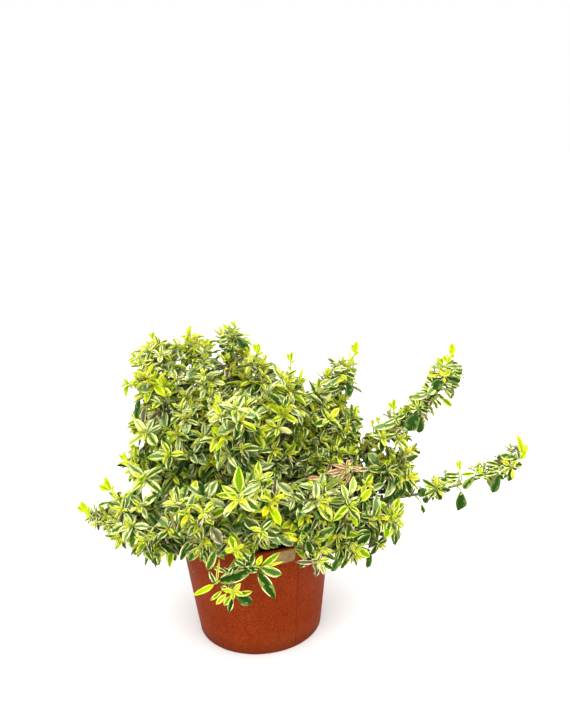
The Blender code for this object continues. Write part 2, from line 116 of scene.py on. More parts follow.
def addNode(tree, kind, values=None, **settings):
    node = tree.nodes.new(kind)
    for key, value in settings.items():
        setattr(node, key, value)
    for key, value in (values or {}).items():
        if isinstance(value, bpy.types.NodeSocket):
            tree.links.new(value, node.inputs[key])
        else:
            node.inputs[key].default_value = value
    return node


def calculate(tree, operation, *values):
    return addNode(tree, "ShaderNodeMath", dict(enumerate(values)), operation=operation).outputs[0]


def newGroup(name, inputs, outputs):
    group = bpy.data.node_groups.new(name, "ShaderNodeTree")
    for label, value in inputs.items():
        socket = group.interface.new_socket(name=label, in_out="INPUT", socket_type="NodeSocketFloat")
        socket.default_value = value
    for label in outputs:
        group.interface.new_socket(name=label, in_out="OUTPUT", socket_type="NodeSocketFloat")
    return group, group.nodes.new("NodeGroupInput"), group.nodes.new("NodeGroupOutput")


def makeGrainGroup():
    # Height is a fine relief and Tone a broad drift, both over Object coordinates
    group, given, result = newGroup("surfaceGrain", {"Fine": 900.0, "Broad": 30.0}, ("Height", "Tone"))
    place = addNode(group, "ShaderNodeTexCoord").outputs["Object"]
    for size, detail, label in (("Fine", 5.0, "Height"), ("Broad", 3.0, "Tone")):
        noise = addNode(group, "ShaderNodeTexNoise",
                        {"Vector": place, "Scale": given.outputs[size], "Detail": detail})
        group.links.new(noise.outputs["Fac"], result.inputs[label])
    return group


def makeSpeckGroup():
    # Mask is 1 on small scattered round specks, on a share of the cells that Amount gives
    sizes = {"Scale": 200.0, "Size": 0.2, "Amount": 0.1}
    group, given, result = newGroup("scatteredSpecks", sizes, ("Mask",))
    place = addNode(group, "ShaderNodeTexCoord").outputs["Object"]
    cells = addNode(group, "ShaderNodeTexVoronoi", {"Vector": place, "Scale": given.outputs["Scale"]})
    shade = addNode(group, "ShaderNodeSeparateColor", {"Color": cells.outputs["Color"]})
    chosen = calculate(group, "LESS_THAN", shade.outputs["Red"], given.outputs["Amount"])
    near = calculate(group, "LESS_THAN", cells.outputs["Distance"], given.outputs["Size"])
    group.links.new(calculate(group, "MULTIPLY", chosen, near), result.inputs["Mask"])
    return group


grainGroup = makeGrainGroup()
speckGroup = makeSpeckGroup()


def newMaterial(name, colour, roughness, **plain):
    material = bpy.data.materials.new(name)
    material.use_nodes = True
    shader = material.node_tree.nodes["Principled BSDF"]
    shader.inputs["Base Color"].default_value = colour
    shader.inputs["Roughness"].default_value = roughness
    for label, value in plain.items():
        shader.inputs[label.replace("_", " ")].default_value = value
    material.diffuse_color = colour
    return material, material.node_tree, shader


def placeGroup(tree, group, **values):
    node = tree.nodes.new("ShaderNodeGroup")
    node.node_tree = group
    for label, value in values.items():
        node.inputs[label].default_value = value
    return node


def blendColours(tree, share, first, second):
    node = tree.nodes.new("ShaderNodeMix")
    node.data_type = "RGBA"
    for index, value in ((0, share), (6, first), (7, second)):
        if isinstance(value, bpy.types.NodeSocket):
            tree.links.new(value, node.inputs[index])
        else:
            node.inputs[index].default_value = value
    return node.outputs[2]


def ramp(tree, value, low, high, toLow=0.0, toHigh=1.0):
    limits = {"From Min": low, "From Max": high, "To Min": toLow, "To Max": toHigh}
    return addNode(tree, "ShaderNodeMapRange", {"Value": value, **limits}).outputs["Result"]


def relief(tree, shader, height, strength, distance):
    bump = addNode(tree, "ShaderNodeBump", {"Height": height, "Strength": strength, "Distance": distance})
    tree.links.new(bump.outputs["Normal"], shader.inputs["Normal"])


def makeGrained(name, look):
    # Two tones that drift over the piece, with a fine relief, and specks and dull spots where given
    material, tree, shader = newMaterial(name, look["colour"], look["roughness"])
    fine, broad = look["grain"]
    grain = placeGroup(tree, grainGroup, Fine=fine, Broad=broad)
    colour = blendColours(tree, ramp(tree, grain.outputs["Tone"], *look["drift"]), *look["tones"])
    if "specks" in look:
        size, reach, amount = look["specks"]
        specks = placeGroup(tree, speckGroup, Scale=size, Size=reach, Amount=amount)
        colour = blendColours(tree, specks.outputs["Mask"], colour, look["speckColour"])
    tree.links.new(colour, shader.inputs["Base Color"])
    if "dullness" in look:
        dullness = ramp(tree, grain.outputs["Height"], 0.3, 0.7, *look["dullness"])
        tree.links.new(dullness, shader.inputs["Roughness"])
    relief(tree, shader, grain.outputs["Height"], *look["relief"])
    return material


# Pot

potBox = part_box("pot")
potLook = {
    "height": potBox[1].z,
    "rimRadius": potBox[1].x,
    "baseRadius": 0.0677,
    "wall": 0.0014,
    "floor": 0.0020,
    "footRound": 0.0016,
    "bandHeight": 0.018,
    "bandProud": 0.0015,
    # Eased corners, as steps outwards and up: under the band, at its foot, and under its lip
    "underBand": ((-0.0003, -0.0006), (0, 0)),
    "bandStep": ((-0.0005, 0.0002), (0, 0.0009)),
    "bandMiddle": 0.009,
    "lipStep": (-0.0003, -0.0036),
    "lipFoot": (-0.0001, -0.0026),
    "lipRound": 0.0008,
    "sides": 144,
    "drainHoles": 6,
    "drainRadius": 0.0032,
    "drainRing": 0.046,
    "seamBearing": math.radians(304),
    "seamHalf": 0.02,
    "seamProud": 0.00022,
    "colour": tone(134, 49, 6),
    "shadeColour": tone(108, 33, 2),
    "freckle": tone(92, 27, 4),
    "dustColour": tone(142, 84, 50),
    "paleSpeck": tone(196, 138, 96),
    # Dark specks, and the painted shade at the foot
    "darkSpeckAndFootShade": tone(62, 28, 16),
}


def wallRadius(height):
    look = potLook
    spread = look["rimRadius"] - look["bandProud"] - look["baseRadius"]
    return look["baseRadius"] + spread * height / look["height"]


def bandRadius(height):
    foot = potLook["height"] - potLook["bandHeight"]
    footRadius = wallRadius(foot) + potLook["bandProud"]
    return footRadius + (potLook["rimRadius"] - footRadius) * (height - foot) / potLook["bandHeight"]


def arcPoints(centreRadius, centreHeight, size, first, last, steps):
    # Points of a round corner, from one angle in degrees to another
    points = []
    for step in range(steps + 1):
        angle = math.radians(first + (last - first) * step / steps)
        points.append((centreRadius + size * math.cos(angle), centreHeight + size * math.sin(angle)))
    return points


def drawUp(name, profile, sides):
    # A filled circle drawn up through the profile by extruding it ring by ring
    pick(None)
    radius, height = profile[0]
    bpy.ops.mesh.primitive_circle_add(
        vertices=sides, radius=radius, fill_type="NGON", location=(0, 0, height))
    piece = bpy.context.object
    piece.name = piece.data.name = name
    bpy.ops.object.mode_set(mode="EDIT")
    bpy.ops.mesh.select_all(action="SELECT")
    for nextRadius, nextHeight in profile[1:]:
        bpy.ops.mesh.extrude_region_move(TRANSFORM_OT_translate={"value": (0, 0, nextHeight - height)})
        share = nextRadius / radius
        bpy.ops.transform.resize(value=(share, share, 1), center_override=(0, 0, nextHeight))
        radius, height = nextRadius, nextHeight
    bpy.ops.mesh.select_all(action="SELECT")
    bpy.ops.mesh.normals_make_consistent(inside=False)
    bpy.ops.object.mode_set(mode="OBJECT")
    applyAll(piece)
    return piece


def makePotPlastic():
    look = potLook
    material, tree, shader = newMaterial("potPlastic", look["colour"], 0.6, Specular_IOR_Level=0.05)
    grain = placeGroup(tree, grainGroup, Fine=620.0, Broad=18.0)
    place = addNode(tree, "ShaderNodeTexCoord").outputs["Object"]
    spot = addNode(tree, "ShaderNodeSeparateXYZ", {"Vector": place})
    drift = ramp(tree, grain.outputs["Tone"], 0.35, 0.68, 0.0, 0.4)
    # Faint rings and streaks that the moulding left, drawn out round the wall
    drawnOut = addNode(tree, "ShaderNodeMapping", {"Vector": place, "Scale": (1.0, 1.0, 0.12)}).outputs[0]
    noise = addNode(tree, "ShaderNodeTexNoise", {"Vector": drawnOut, "Scale": 160.0, "Detail": 4.0})
    streaks = ramp(tree, noise.outputs["Fac"], 0.5, 0.8, 0.0, 0.35)
    freckles = ramp(tree, grain.outputs["Height"], 0.48, 0.60, 0.0, 0.8)
    # The upright line where the mould's halves met
    bearing = calculate(tree, "ARCTAN2", spot.outputs["Y"], spot.outputs["X"])
    aside = calculate(tree, "ABSOLUTE", calculate(tree, "ADD", bearing, math.tau - look["seamBearing"]))
    seam = ramp(tree, aside, 0.005, 0.014, 0.85, 0.0)
    # Potting dust near the foot, crumbs stuck to the wall, and a painted shade that darkens the bottom of the
    # foot
    foot = ramp(tree, spot.outputs["Z"], 0.0, 0.016, 0.45, 0.0)
    dust = calculate(tree, "MULTIPLY", ramp(tree, spot.outputs["Z"], 0.002, 0.030, 0.4, 0.0),
                     ramp(tree, grain.outputs["Tone"], 0.5, 0.7))
    pale = placeGroup(tree, speckGroup, Scale=150.0, Size=0.12, Amount=0.05)
    dark = placeGroup(tree, speckGroup, Scale=230.0, Size=0.17, Amount=0.05)
    colour = look["colour"]
    layers = ((drift, "shadeColour"), (streaks, "shadeColour"), (freckles, "freckle"), (seam, "shadeColour"),
              # The foot layer is painted shade in the dark speck colour
              (foot, "darkSpeckAndFootShade"), (dust, "dustColour"), (pale.outputs["Mask"], "paleSpeck"),
              (dark.outputs["Mask"], "darkSpeckAndFootShade"))
    for share, name in layers:
        colour = blendColours(tree, share, colour, look[name])
    tree.links.new(colour, shader.inputs["Base Color"])
    tree.links.new(ramp(tree, grain.outputs["Tone"], 0.3, 0.7, 0.52, 0.68), shader.inputs["Roughness"])
    relief(tree, shader, grain.outputs["Height"], 0.22, 0.0004)
    return material


def makePot():
    look = potLook
    height, rim, foot, lip = look["height"], look["rimRadius"], look["footRound"], look["lipRound"]
    bandFoot = height - look["bandHeight"]
    # From the foot up the wall, over the eased step of the band and the rolled lip, and down inside
    profile = arcPoints(look["baseRadius"] - foot, foot, foot, -90, 0, 5)
    profile += [(wallRadius(bandFoot * share), bandFoot * share) for share in (0.2, 0.4, 0.6, 0.8, 0.97)]
    profile += [(wallRadius(bandFoot) + out, bandFoot + up) for out, up in look["underBand"]]
    profile += [(bandRadius(bandFoot) + out, bandFoot + up) for out, up in look["bandStep"]]
    middle = bandFoot + look["bandMiddle"]
    (out, up), (footOut, footUp) = look["lipStep"], look["lipFoot"]
    profile += [(bandRadius(middle), middle), (bandRadius(height + up) + out, height + up)]
    profile += [(rim + footOut, height + footUp)]
    profile += arcPoints(rim - lip, height - lip, lip, 0, 90, 5)
    inner = rim - look["bandProud"] - look["wall"]
    profile += [(inner + lip * 0.5, height), (inner, height - lip)]
    profile += [(wallRadius(height * share) - look["wall"], height * share) for share in (0.75, 0.4, 0.1)]
    profile += [(wallRadius(look["floor"]) - look["wall"] - 0.001, look["floor"])]
    pot = drawUp("pottedShell", profile, look["sides"])

    def isSeam(place):
        aside = math.atan2(place.y, place.x) + math.tau - look["seamBearing"]
        isOutside = math.hypot(place.x, place.y) > wallRadius(place.z) - 0.0005
        return abs(aside) < look["seamHalf"] and foot < place.z < bandFoot and isOutside

    editMesh(pot, vertTest=isSeam)
    share = 1 + look["seamProud"] / look["rimRadius"]
    bpy.ops.transform.resize(value=(share, share, 1), center_override=(0, 0, 0))
    ring = look["drainRing"]
    for hole in range(look["drainHoles"]):
        angle = math.tau * hole / look["drainHoles"]
        pick(None)
        bpy.ops.mesh.primitive_cylinder_add(
            vertices=32, radius=look["drainRadius"], depth=look["floor"] * 4,
            location=(ring * math.cos(angle), ring * math.sin(angle), look["floor"] / 2))
        drill = bpy.context.object
        cut = pot.modifiers.new("drain", "BOOLEAN")
        cut.object = drill
        pick(pot)
        bpy.ops.object.modifier_apply(modifier=cut.name)
        bpy.data.objects.remove(drill, do_unlink=True)
    smooth(pot, 32)
    dress(pot, [makePotPlastic()])
    settle(pot, "pot_plastic", "pot")
    print("pot made")


# Potting soil: a filled body with a rough top, bark chips and white grit

soilLook = {
    "top": 0.118,
    "hump": 0.0016,
    "gap": 0.0003,
    "rings": 20,
    "sides": 72,
    "roughness": 0.0022,
    "humpRadius": 0.08,
    "lumps": (310, 270, 620),
    "keepIn": 0.004,
    "chips": {"count": 330, "lift": 0.0006, "sizes": (0.55, 1.5), "tilt": 0.45},
    "chipSize": (0.0042, 0.0024, 0.0011),
    "grit": {"count": 70, "lift": 0.0004, "sizes": (0.5, 1.25), "tilt": 3.0},
    "gritSize": 0.0011,
    "seed": 5,
    "finish": {"colour": tone(44, 33, 25), "tones": (tone(30, 21, 16), tone(66, 48, 34)),
               "roughness": 0.95, "dullness": (0.85, 1.0), "grain": (1100.0, 160.0), "drift": (0.35, 0.65),
               "specks": (520.0, 0.35, 0.16), "speckColour": tone(104, 78, 52), "relief": (0.8, 0.0012)},
    "chipFinish": {"colour": tone(74, 50, 34), "tones": (tone(52, 33, 23), tone(112, 78, 52)),
                   "roughness": 0.85, "grain": (1500.0, 240.0), "drift": (0.35, 0.65),
                   "relief": (0.6, 0.0006)},
}


def manyFaces(faces, width, count):
    # The faces of a piece that is repeated, each copy with its own points
    return [[index + width * copy for index in face] for copy in range(count) for face in faces]


def copies(name, source, matrices):
    # One joined mesh of the modelled piece at each matrix
    points = np.array([vert.co for vert in source.data.vertices])
    faces = [tuple(face.vertices) for face in source.data.polygons]
    turned = [points @ np.array(m.to_3x3()).T + np.array(m.translation) for m in matrices]
    mesh = bpy.data.meshes.new(name)
    mesh.from_pydata(np.concatenate(turned).tolist(), [], manyFaces(faces, len(points), len(matrices)))
    bpy.data.objects.remove(source, do_unlink=True)
    return addPiece(name, mesh)


def soilHeight(x, y):
    look = soilLook
    acrossLumps, alongLumps, smallLumps = look["lumps"]
    out = math.hypot(x, y) / look["humpRadius"]
    swell = look["hump"] * math.sin(min(1.0, out) * math.pi) * 0.8
    rough = math.sin(x * acrossLumps + 1.3) * math.cos(y * alongLumps - 0.4)
    rough += 0.6 * math.sin((x + y) * smallLumps)
    return look["top"] + swell + rough * look["roughness"] * 0.22 - look["roughness"] * 0.4


def makeSoil():
    look = soilLook
    draw = random.Random(look["seed"])
    foot = potLook["floor"] + look["gap"]
    topRadius = wallRadius(look["top"]) - potLook["wall"] - look["gap"]
    profile = [(wallRadius(foot) - potLook["wall"] - look["gap"] - 0.001, foot), (topRadius, look["top"])]
    soil = drawUp("soilBed", profile, look["sides"])
    editMesh(soil, faceTest=lambda face: face.normal.z > 0.9)
    for ring in range(look["rings"]):
        bpy.ops.mesh.inset(thickness=topRadius / (look["rings"] + 1.2))
    bpy.ops.mesh.poke()
    bpy.ops.object.mode_set(mode="OBJECT")
    for vert in soil.data.vertices:
        if vert.co.z > look["top"] - 0.001 and math.hypot(vert.co.x, vert.co.y) < topRadius - 0.001:
            vert.co.z = soilHeight(vert.co.x, vert.co.y) + draw.uniform(-0.5, 0.5) * look["roughness"]
    smooth(soil, 50)
    dress(soil, [makeGrained("pottingSoil", look["finish"])])
    settle(soil, "potting_soil", "soil")
    reach = topRadius - look["keepIn"]
    pick(None)
    bpy.ops.mesh.primitive_cube_add(size=1)
    chip = bpy.context.object
    chip.scale = look["chipSize"]
    applyAll(chip)
    editMesh(chip, vertTest=lambda co: co.x > 0)
    bpy.ops.transform.resize(value=(1, 0.6, 0.7), center_override=(0, 0, 0))
    bpy.ops.mesh.select_all(action="SELECT")
    bpy.ops.mesh.bevel(offset=0.0003, segments=1, affect="EDGES")
    bpy.ops.object.mode_set(mode="OBJECT")
    chips = copies("barkChips", chip, scatter(draw, reach, **look["chips"]))
    dress(chips, [makeGrained("barkChip", look["chipFinish"])])
    settle(chips, "potting_soil")
    pick(None)
    bpy.ops.mesh.primitive_ico_sphere_add(subdivisions=2, radius=look["gritSize"])
    grain = bpy.context.object
    editMesh(grain, vertTest=lambda co: co.z > 0)
    bpy.ops.transform.resize(value=(0.8, 1.1, 0.7), center_override=(0, 0, 0))
    bpy.ops.object.mode_set(mode="OBJECT")
    grit = copies("whiteGrit", grain, scatter(draw, reach, **look["grit"]))
    dress(grit, [newMaterial("whiteGrit", tone(214, 208, 196), 0.8)[0]])
    smooth(grit, 60)
    settle(grit, "potting_soil")
    print("soil made")


def scatter(draw, reach, count, lift, sizes, tilt):
    # Places on the soil's top, clear of the stem
    matrices = []
    for _ in range(count):
        size = draw.uniform(*sizes)
        out = math.sqrt(draw.uniform(0.05, 1.0)) * reach
        angle = draw.uniform(0, math.tau)
        x, y = out * math.cos(angle), out * math.sin(angle)
        turn = Matrix.Rotation(draw.uniform(0, math.tau), 4, "Z")
        for axis in "XY":
            turn = turn @ Matrix.Rotation(draw.uniform(-tilt, tilt), 4, axis)
        matrices.append(Matrix.Translation((x, y, soilHeight(x, y) + lift)) @ turn @ Matrix.Scale(size, 4))
    return matrices


# Blank paper strip on the rim band

labelLook = {
    "bearing": math.radians(291),
    "width": 0.026,
    "height": 0.0145,
    "drop": 0.0015,
    "gap": 0.00036,
    "thick": 0.00035,
    "curl": 0.0009,
    "finish": {"colour": tone(142, 116, 62), "tones": (tone(142, 116, 62), tone(112, 88, 44)),
               "roughness": 0.8, "grain": (2200.0, 190.0), "drift": (0.42, 0.72), "relief": (0.4, 0.0003)},
}


def makeLabel():
    look = labelLook
    pick(None)
    bpy.ops.mesh.primitive_grid_add(x_subdivisions=24, y_subdivisions=12, size=1)
    label = bpy.context.object
    label.name = label.data.name = "blankStrip"
    middle = potLook["height"] - look["drop"] - look["height"] / 2
    for vert in label.data.vertices:
        across, up = vert.co.x, vert.co.y
        # Worn corners, and an edge that has come a little loose at the right
        trim = 1 - 0.06 * max(0.0, abs(across) + abs(up) - 0.86) / 0.14
        height = middle + up * look["height"] * trim
        angle = look["bearing"] + across * look["width"] / potLook["rimRadius"] * trim
        loose = look["curl"] * max(0.0, across - 0.3) ** 2 / 0.04 * (0.4 + up) * 0.5
        radius = bandRadius(height) + look["gap"] + max(0.0, loose)
        vert.co = (radius * math.cos(angle), radius * math.sin(angle), height)
    editMesh(label, vertTest=lambda co: True)
    bpy.ops.mesh.normals_make_consistent(inside=False)
    bpy.ops.object.mode_set(mode="OBJECT")
    outward = Vector((math.cos(look["bearing"]), math.sin(look["bearing"]), 0))
    if label.data.polygons[0].normal.dot(outward) < 0:
        label.data.flip_normals()
    wall = label.modifiers.new("paper", "SOLIDIFY")
    wall.thickness = look["thick"]
    wall.offset = 1.0
    applyAll(label)
    smooth(label, 40)
    dress(label, [makeGrained("labelPaper", look["finish"])])
    settle(label, "label_paper", "pot_label")
    print("label made")


# Shoots: bearing in degrees, how far out and how high the tip is, bow, reach of the leaves, bare share

shoots = {
    "left_high": (171, 0.120, 0.300, 0.000, 0.032, 0.28),
    "left_top": (153, 0.114, 0.308, 0.000, 0.032, 0.32),
    "left_back_top": (136, 0.084, 0.312, 0.000, 0.028, 0.34),
    "top": (106, 0.070, 0.324, 0.000, 0.030, 0.32),
    "centre_top": (72, 0.034, 0.294, 0.000, 0.032, 0.30),
    "centre_right": (20, 0.050, 0.290, 0.000, 0.032, 0.28),
    "right_top": (26, 0.130, 0.290, -0.016, 0.029, 0.32),
    "arm_high": (8, 0.222, 0.304, -0.082, 0.026, 0.28),
    "arm_low": (356, 0.286, 0.214, -0.068, 0.022, 0.30),
    "left_mid": (180, 0.136, 0.212, -0.006, 0.032, 0.28),
    "left_low": (193, 0.178, 0.160, -0.010, 0.028, 0.28),
    "left_front": (208, 0.138, 0.122, 0.016, 0.030, 0.30),
    "front_low": (260, 0.124, 0.088, 0.050, 0.028, 0.36),
    "front_centre": (274, 0.100, 0.202, 0.000, 0.036, 0.22),
    "front_left": (234, 0.116, 0.186, 0.000, 0.034, 0.26),
    "front_right": (312, 0.112, 0.182, 0.000, 0.034, 0.26),
    "rim_left": (240, 0.106, 0.140, 0.014, 0.030, 0.00),
    "rim_front": (276, 0.100, 0.152, 0.010, 0.030, 0.00),
    "rim_right": (303, 0.116, 0.122, 0.022, 0.030, 0.00),
    "right_upper": (14, 0.118, 0.226, -0.004, 0.032, 0.28),
    "right_low": (330, 0.136, 0.098, 0.034, 0.030, 0.32),
    "right_side": (346, 0.166, 0.126, 0.012, 0.030, 0.28),
    "right_mid": (0, 0.168, 0.190, -0.012, 0.030, 0.28),
    "crown_mid": (250, 0.044, 0.272, 0.000, 0.038, 0.00),
    "back_left": (150, 0.146, 0.222, -0.004, 0.034, 0.28),
    "back_top": (84, 0.112, 0.252, 0.000, 0.036, 0.28),
    "back_right": (44, 0.144, 0.208, -0.006, 0.034, 0.28),
    "back_low_left": (134, 0.150, 0.144, 0.016, 0.034, 0.28),
    "back_low": (92, 0.152, 0.148, 0.016, 0.034, 0.28),
    "back_low_right": (50, 0.152, 0.140, 0.018, 0.034, 0.28),
}
limbRule = {
    "headRadius": 0.0150,
    "headHeight": 0.022,
    "headDegrees": (-50, 86, 9),
    "seatGap": 0.0003,
    "leaveShare": 0.28,
    "middleShare": 0.80,
    "sagAtHead": 0.3,
    "spreadDegrees": 23.0,
    "spreadStep": 0.02,
    "spreadRounds": 300,
    "lowestWay": -0.30,
    "boughRadius": 0.0025,
    "tipRadius": 0.0009,
}
headCentre = Vector((0, 0, soilLook["top"] + limbRule["seatGap"] + limbRule["headHeight"]))


def shootTip(name):
    bearing = math.radians(shoots[name][0])
    return Vector((shoots[name][1] * math.cos(bearing), shoots[name][1] * math.sin(bearing), shoots[name][2]))


def spreadAnchors():
    # The way each bough leaves the head, pushed apart until no two are too close
    rule = limbRule
    ways = {}
    for name, shoot in shoots.items():
        bow = shoot[3] if shoot[3] > 0 else shoot[3] * rule["sagAtHead"]
        ways[name] = ((shootTip(name) - headCentre) * 0.5 + Vector((0, 0, bow))).normalized()
    least = math.radians(rule["spreadDegrees"])
    for _ in range(rule["spreadRounds"]):
        moved = False
        for name in ways:
            push = Vector()
            for other in ways:
                if other != name and ways[name].angle(ways[other]) < least:
                    push += (ways[name] - ways[other]).normalized()
            if push.length > 0:
                ways[name] = (ways[name] + push.normalized() * rule["spreadStep"]).normalized()
                moved = True
            ways[name].z = max(ways[name].z, rule["lowestWay"])
            ways[name].normalize()
        if not moved:
            break
    return ways


def limbCurve(name, way):
    start = headCentre + way * (limbRule["headRadius"] + limbRule["seatGap"])
    tip = shootTip(name)
    leave = start + way * (tip - start).length * limbRule["leaveShare"]
    middle = start.lerp(tip, limbRule["middleShare"]) + Vector((0, 0, shoots[name][3]))
    return start, leave, middle, tip


def onCurve(curve, share):
    first, second, third, fourth = curve
    rest = 1 - share
    early = first * rest**3 + second * (3 * rest**2 * share)
    return early + third * (3 * rest * share**2) + fourth * share**3


def alongCurve(curve, share):
    first, second, third, fourth = curve
    rest = 1 - share
    slope = (second - first) * rest**2 + (third - second) * (2 * rest * share) + (fourth - third) * share**2
    return slope.normalized()


def curveLength(curve):
    spots = [onCurve(curve, index / 20) for index in range(21)]
    return sum((b - a).length for a, b in zip(spots, spots[1:]))


def limbRadius(share):
    return limbRule["boughRadius"] + (limbRule["tipRadius"] - limbRule["boughRadius"]) * share


anchorWays = spreadAnchors()
limbCurves = {name: limbCurve(name, anchorWays[name]) for name in shoots}


# Stem, boughs and twigs

barkLook = {
    "flareRadius": 0.0145,
    # Shares of the flare's radius, and heights above the soil
    "flare": ((1, 0), (0.96, 0.0008), (0.80, 0.0028), (0.69, 0.005)),
    "ridgeDepth": 0.06,
    "ridgeHeight": 0.04,
    "neckRadius": 0.0092,
    "neckHeight": 0.009,
    "relief": 0.0011,
    "reliefSize": 0.0035,
    "boughRelief": 0.0007,
    "boughStep": 0.0014,
    "collar": 0.28,
    "collarFade": 30,
    "finish": {"colour": tone(128, 104, 80), "tones": (tone(58, 44, 36), tone(128, 104, 80)),
               "roughness": 0.85, "dullness": (0.75, 0.95), "grain": (1300.0, 140.0), "drift": (0.36, 0.62),
               "specks": (700.0, 0.3, 0.22), "speckColour": tone(150, 142, 112), "relief": (0.7, 0.0008)},
}


def roughen(piece, strength, size):
    clouds = bpy.data.textures.new(f"{piece.name}Clouds", "CLOUDS")
    clouds.noise_scale = size
    rough = piece.modifiers.new("relief", "DISPLACE")
    rough.texture = clouds
    rough.strength = strength
    rough.mid_level = 0.5


def makeStem(bark):
    look, rule = barkLook, limbRule
    foot = soilLook["top"] + rule["seatGap"]
    head = headCentre.z
    profile = [(look["flareRadius"] * share, foot + up) for share, up in look["flare"]]
    profile += [(look["neckRadius"], foot + look["neckHeight"] * 0.8)]
    for degrees in range(*rule["headDegrees"]):
        angle = math.radians(degrees)
        profile.append((rule["headRadius"] * math.cos(angle), head + rule["headRadius"] * math.sin(angle)))
    stem = drawUp("woodyStem", profile, 56)
    # Ridges that run down into the flare, deeper near the soil
    for vert in stem.data.vertices:
        if vert.co.z > foot + 0.0001:
            angle = math.atan2(vert.co.y, vert.co.x)
            depth = look["ridgeDepth"] * (1 - (vert.co.z - foot) / look["ridgeHeight"])
            ridge = 1 + depth * (math.cos(5 * angle + 0.7) + 0.5 * math.cos(9 * angle + vert.co.z * 200))
            vert.co.x *= ridge
            vert.co.y *= ridge
    roughen(stem, look["relief"], look["reliefSize"])
    applyAll(stem)
    for vert in stem.data.vertices:
        vert.co.z = max(vert.co.z, foot)
    smooth(stem, 50)
    dress(stem, [bark])
    settle(stem, "bark", "stem_base")


class Lines:
    # Twig routes of one kind, made into one piece of round tubes
    def __init__(self, name, sides):
        self.name = name
        self.sides = sides
        self.routes = []

    def add(self, points, radii):
        self.routes.append((points, radii))

    def build(self):
        curve = bpy.data.curves.new(self.name, "CURVE")
        curve.dimensions = "3D"
        curve.bevel_depth = 1.0
        curve.bevel_resolution = max(0, self.sides // 2 - 1)
        curve.use_fill_caps = True
        for points, radii in self.routes:
            line = curve.splines.new("POLY")
            line.points.add(len(points) - 1)
            for spot, point, radius in zip(line.points, points, radii):
                spot.co = (*point, 1)
                spot.radius = radius
        pick(addPiece(self.name, curve))
        bpy.ops.object.convert(target="MESH")
        piece = bpy.context.object
        piece.name = piece.data.name = self.name
        return piece


def makeBoughs(bark):
    look = barkLook
    lines = Lines("woodyBoughs", 10)
    for name, curve in limbCurves.items():
        bare = max(shoots[name][5], 0.05)
        steps = max(8, round(curveLength(curve) * bare / look["boughStep"]))
        inside = headCentre + anchorWays[name] * limbRule["headRadius"] * 0.7
        shares = [bare * 1.04 * index / steps for index in range(steps + 1)]
        points = [inside] + [onCurve(curve, share) for share in shares]
        # A collar where the bough leaves the head
        radii = [limbRadius(0) * 1.35]
        for share in shares:
            swell = look["collar"] * math.exp(-share * look["collarFade"])
            radii.append(limbRadius(share) * (1 + swell))
        lines.add(points, radii)
    boughs = lines.build()
    roughen(boughs, look["boughRelief"], look["reliefSize"] * 0.7)
    applyAll(boughs)
    smooth(boughs, 50)
    dress(boughs, [bark])
    settle(boughs, "bark", *[f"bough_{name}" for name, shoot in shoots.items() if shoot[5] > 0])
    print("stem and boughs made")


# Leaves

leafTints = {
    # Heart, flush beside it, edge, underside
    "deep": ((36, 64, 10), (86, 112, 40), (224, 222, 162), (116, 136, 58)),
    "dusk": ((54, 74, 22), (100, 112, 54), (218, 206, 160), (130, 134, 76)),
    "old": ((64, 96, 30), (128, 150, 68), (228, 226, 146), (164, 178, 94)),
    "grey": ((106, 134, 78), (168, 184, 110), (230, 230, 164), (190, 200, 124)),
    "green": ((106, 144, 12), (188, 200, 56), (222, 222, 110), (184, 198, 74)),
    "fresh": ((154, 176, 8), (206, 212, 46), (222, 220, 112), (196, 206, 66)),
    "soft": ((178, 188, 44), (204, 210, 72), (226, 226, 132), (204, 210, 88)),
    "lime": ((150, 184, 4), (196, 206, 16), (214, 212, 78), (190, 202, 42)),
    "gold": ((200, 198, 10), (214, 210, 30), (222, 216, 88), (210, 206, 58)),
    "pale": ((154, 172, 76), (212, 216, 130), (232, 232, 168), (212, 216, 128)),
    "rose": ((76, 88, 52), (122, 116, 80), (220, 196, 164), (150, 136, 96)),
    "tan": ((146, 104, 66), (176, 136, 92), (220, 190, 148), (156, 120, 80)),
    "plain": ((40, 70, 18), (60, 90, 36), (118, 138, 74), (92, 114, 56)),
}
tintNames = list(leafTints)
partNames = ("Heart", "Flush", "Edge", "Under")
leafRule = {
    "columns": 6,
    "rows": 6,
    "thick": 0.00032,
    "aspect": 0.48,
    "heartShare": (0.42, 0.90),
    "heartSway": (0.6, 1.4),
    "heartLimits": (0.15, 0.8),
    "edgeSway": (0.75, 1.3),
    "fold": (0.15, 0.65),
    "leastBend": 0.03,
    "waves": 9,
    "wave": 0.16,
    "twist": 0.30,
    "patchShare": 0.15,
    "longPatchShare": 0.04,
    "longFrom": 0.021,
    "veins": 9.0,
    "seed": 23,
}


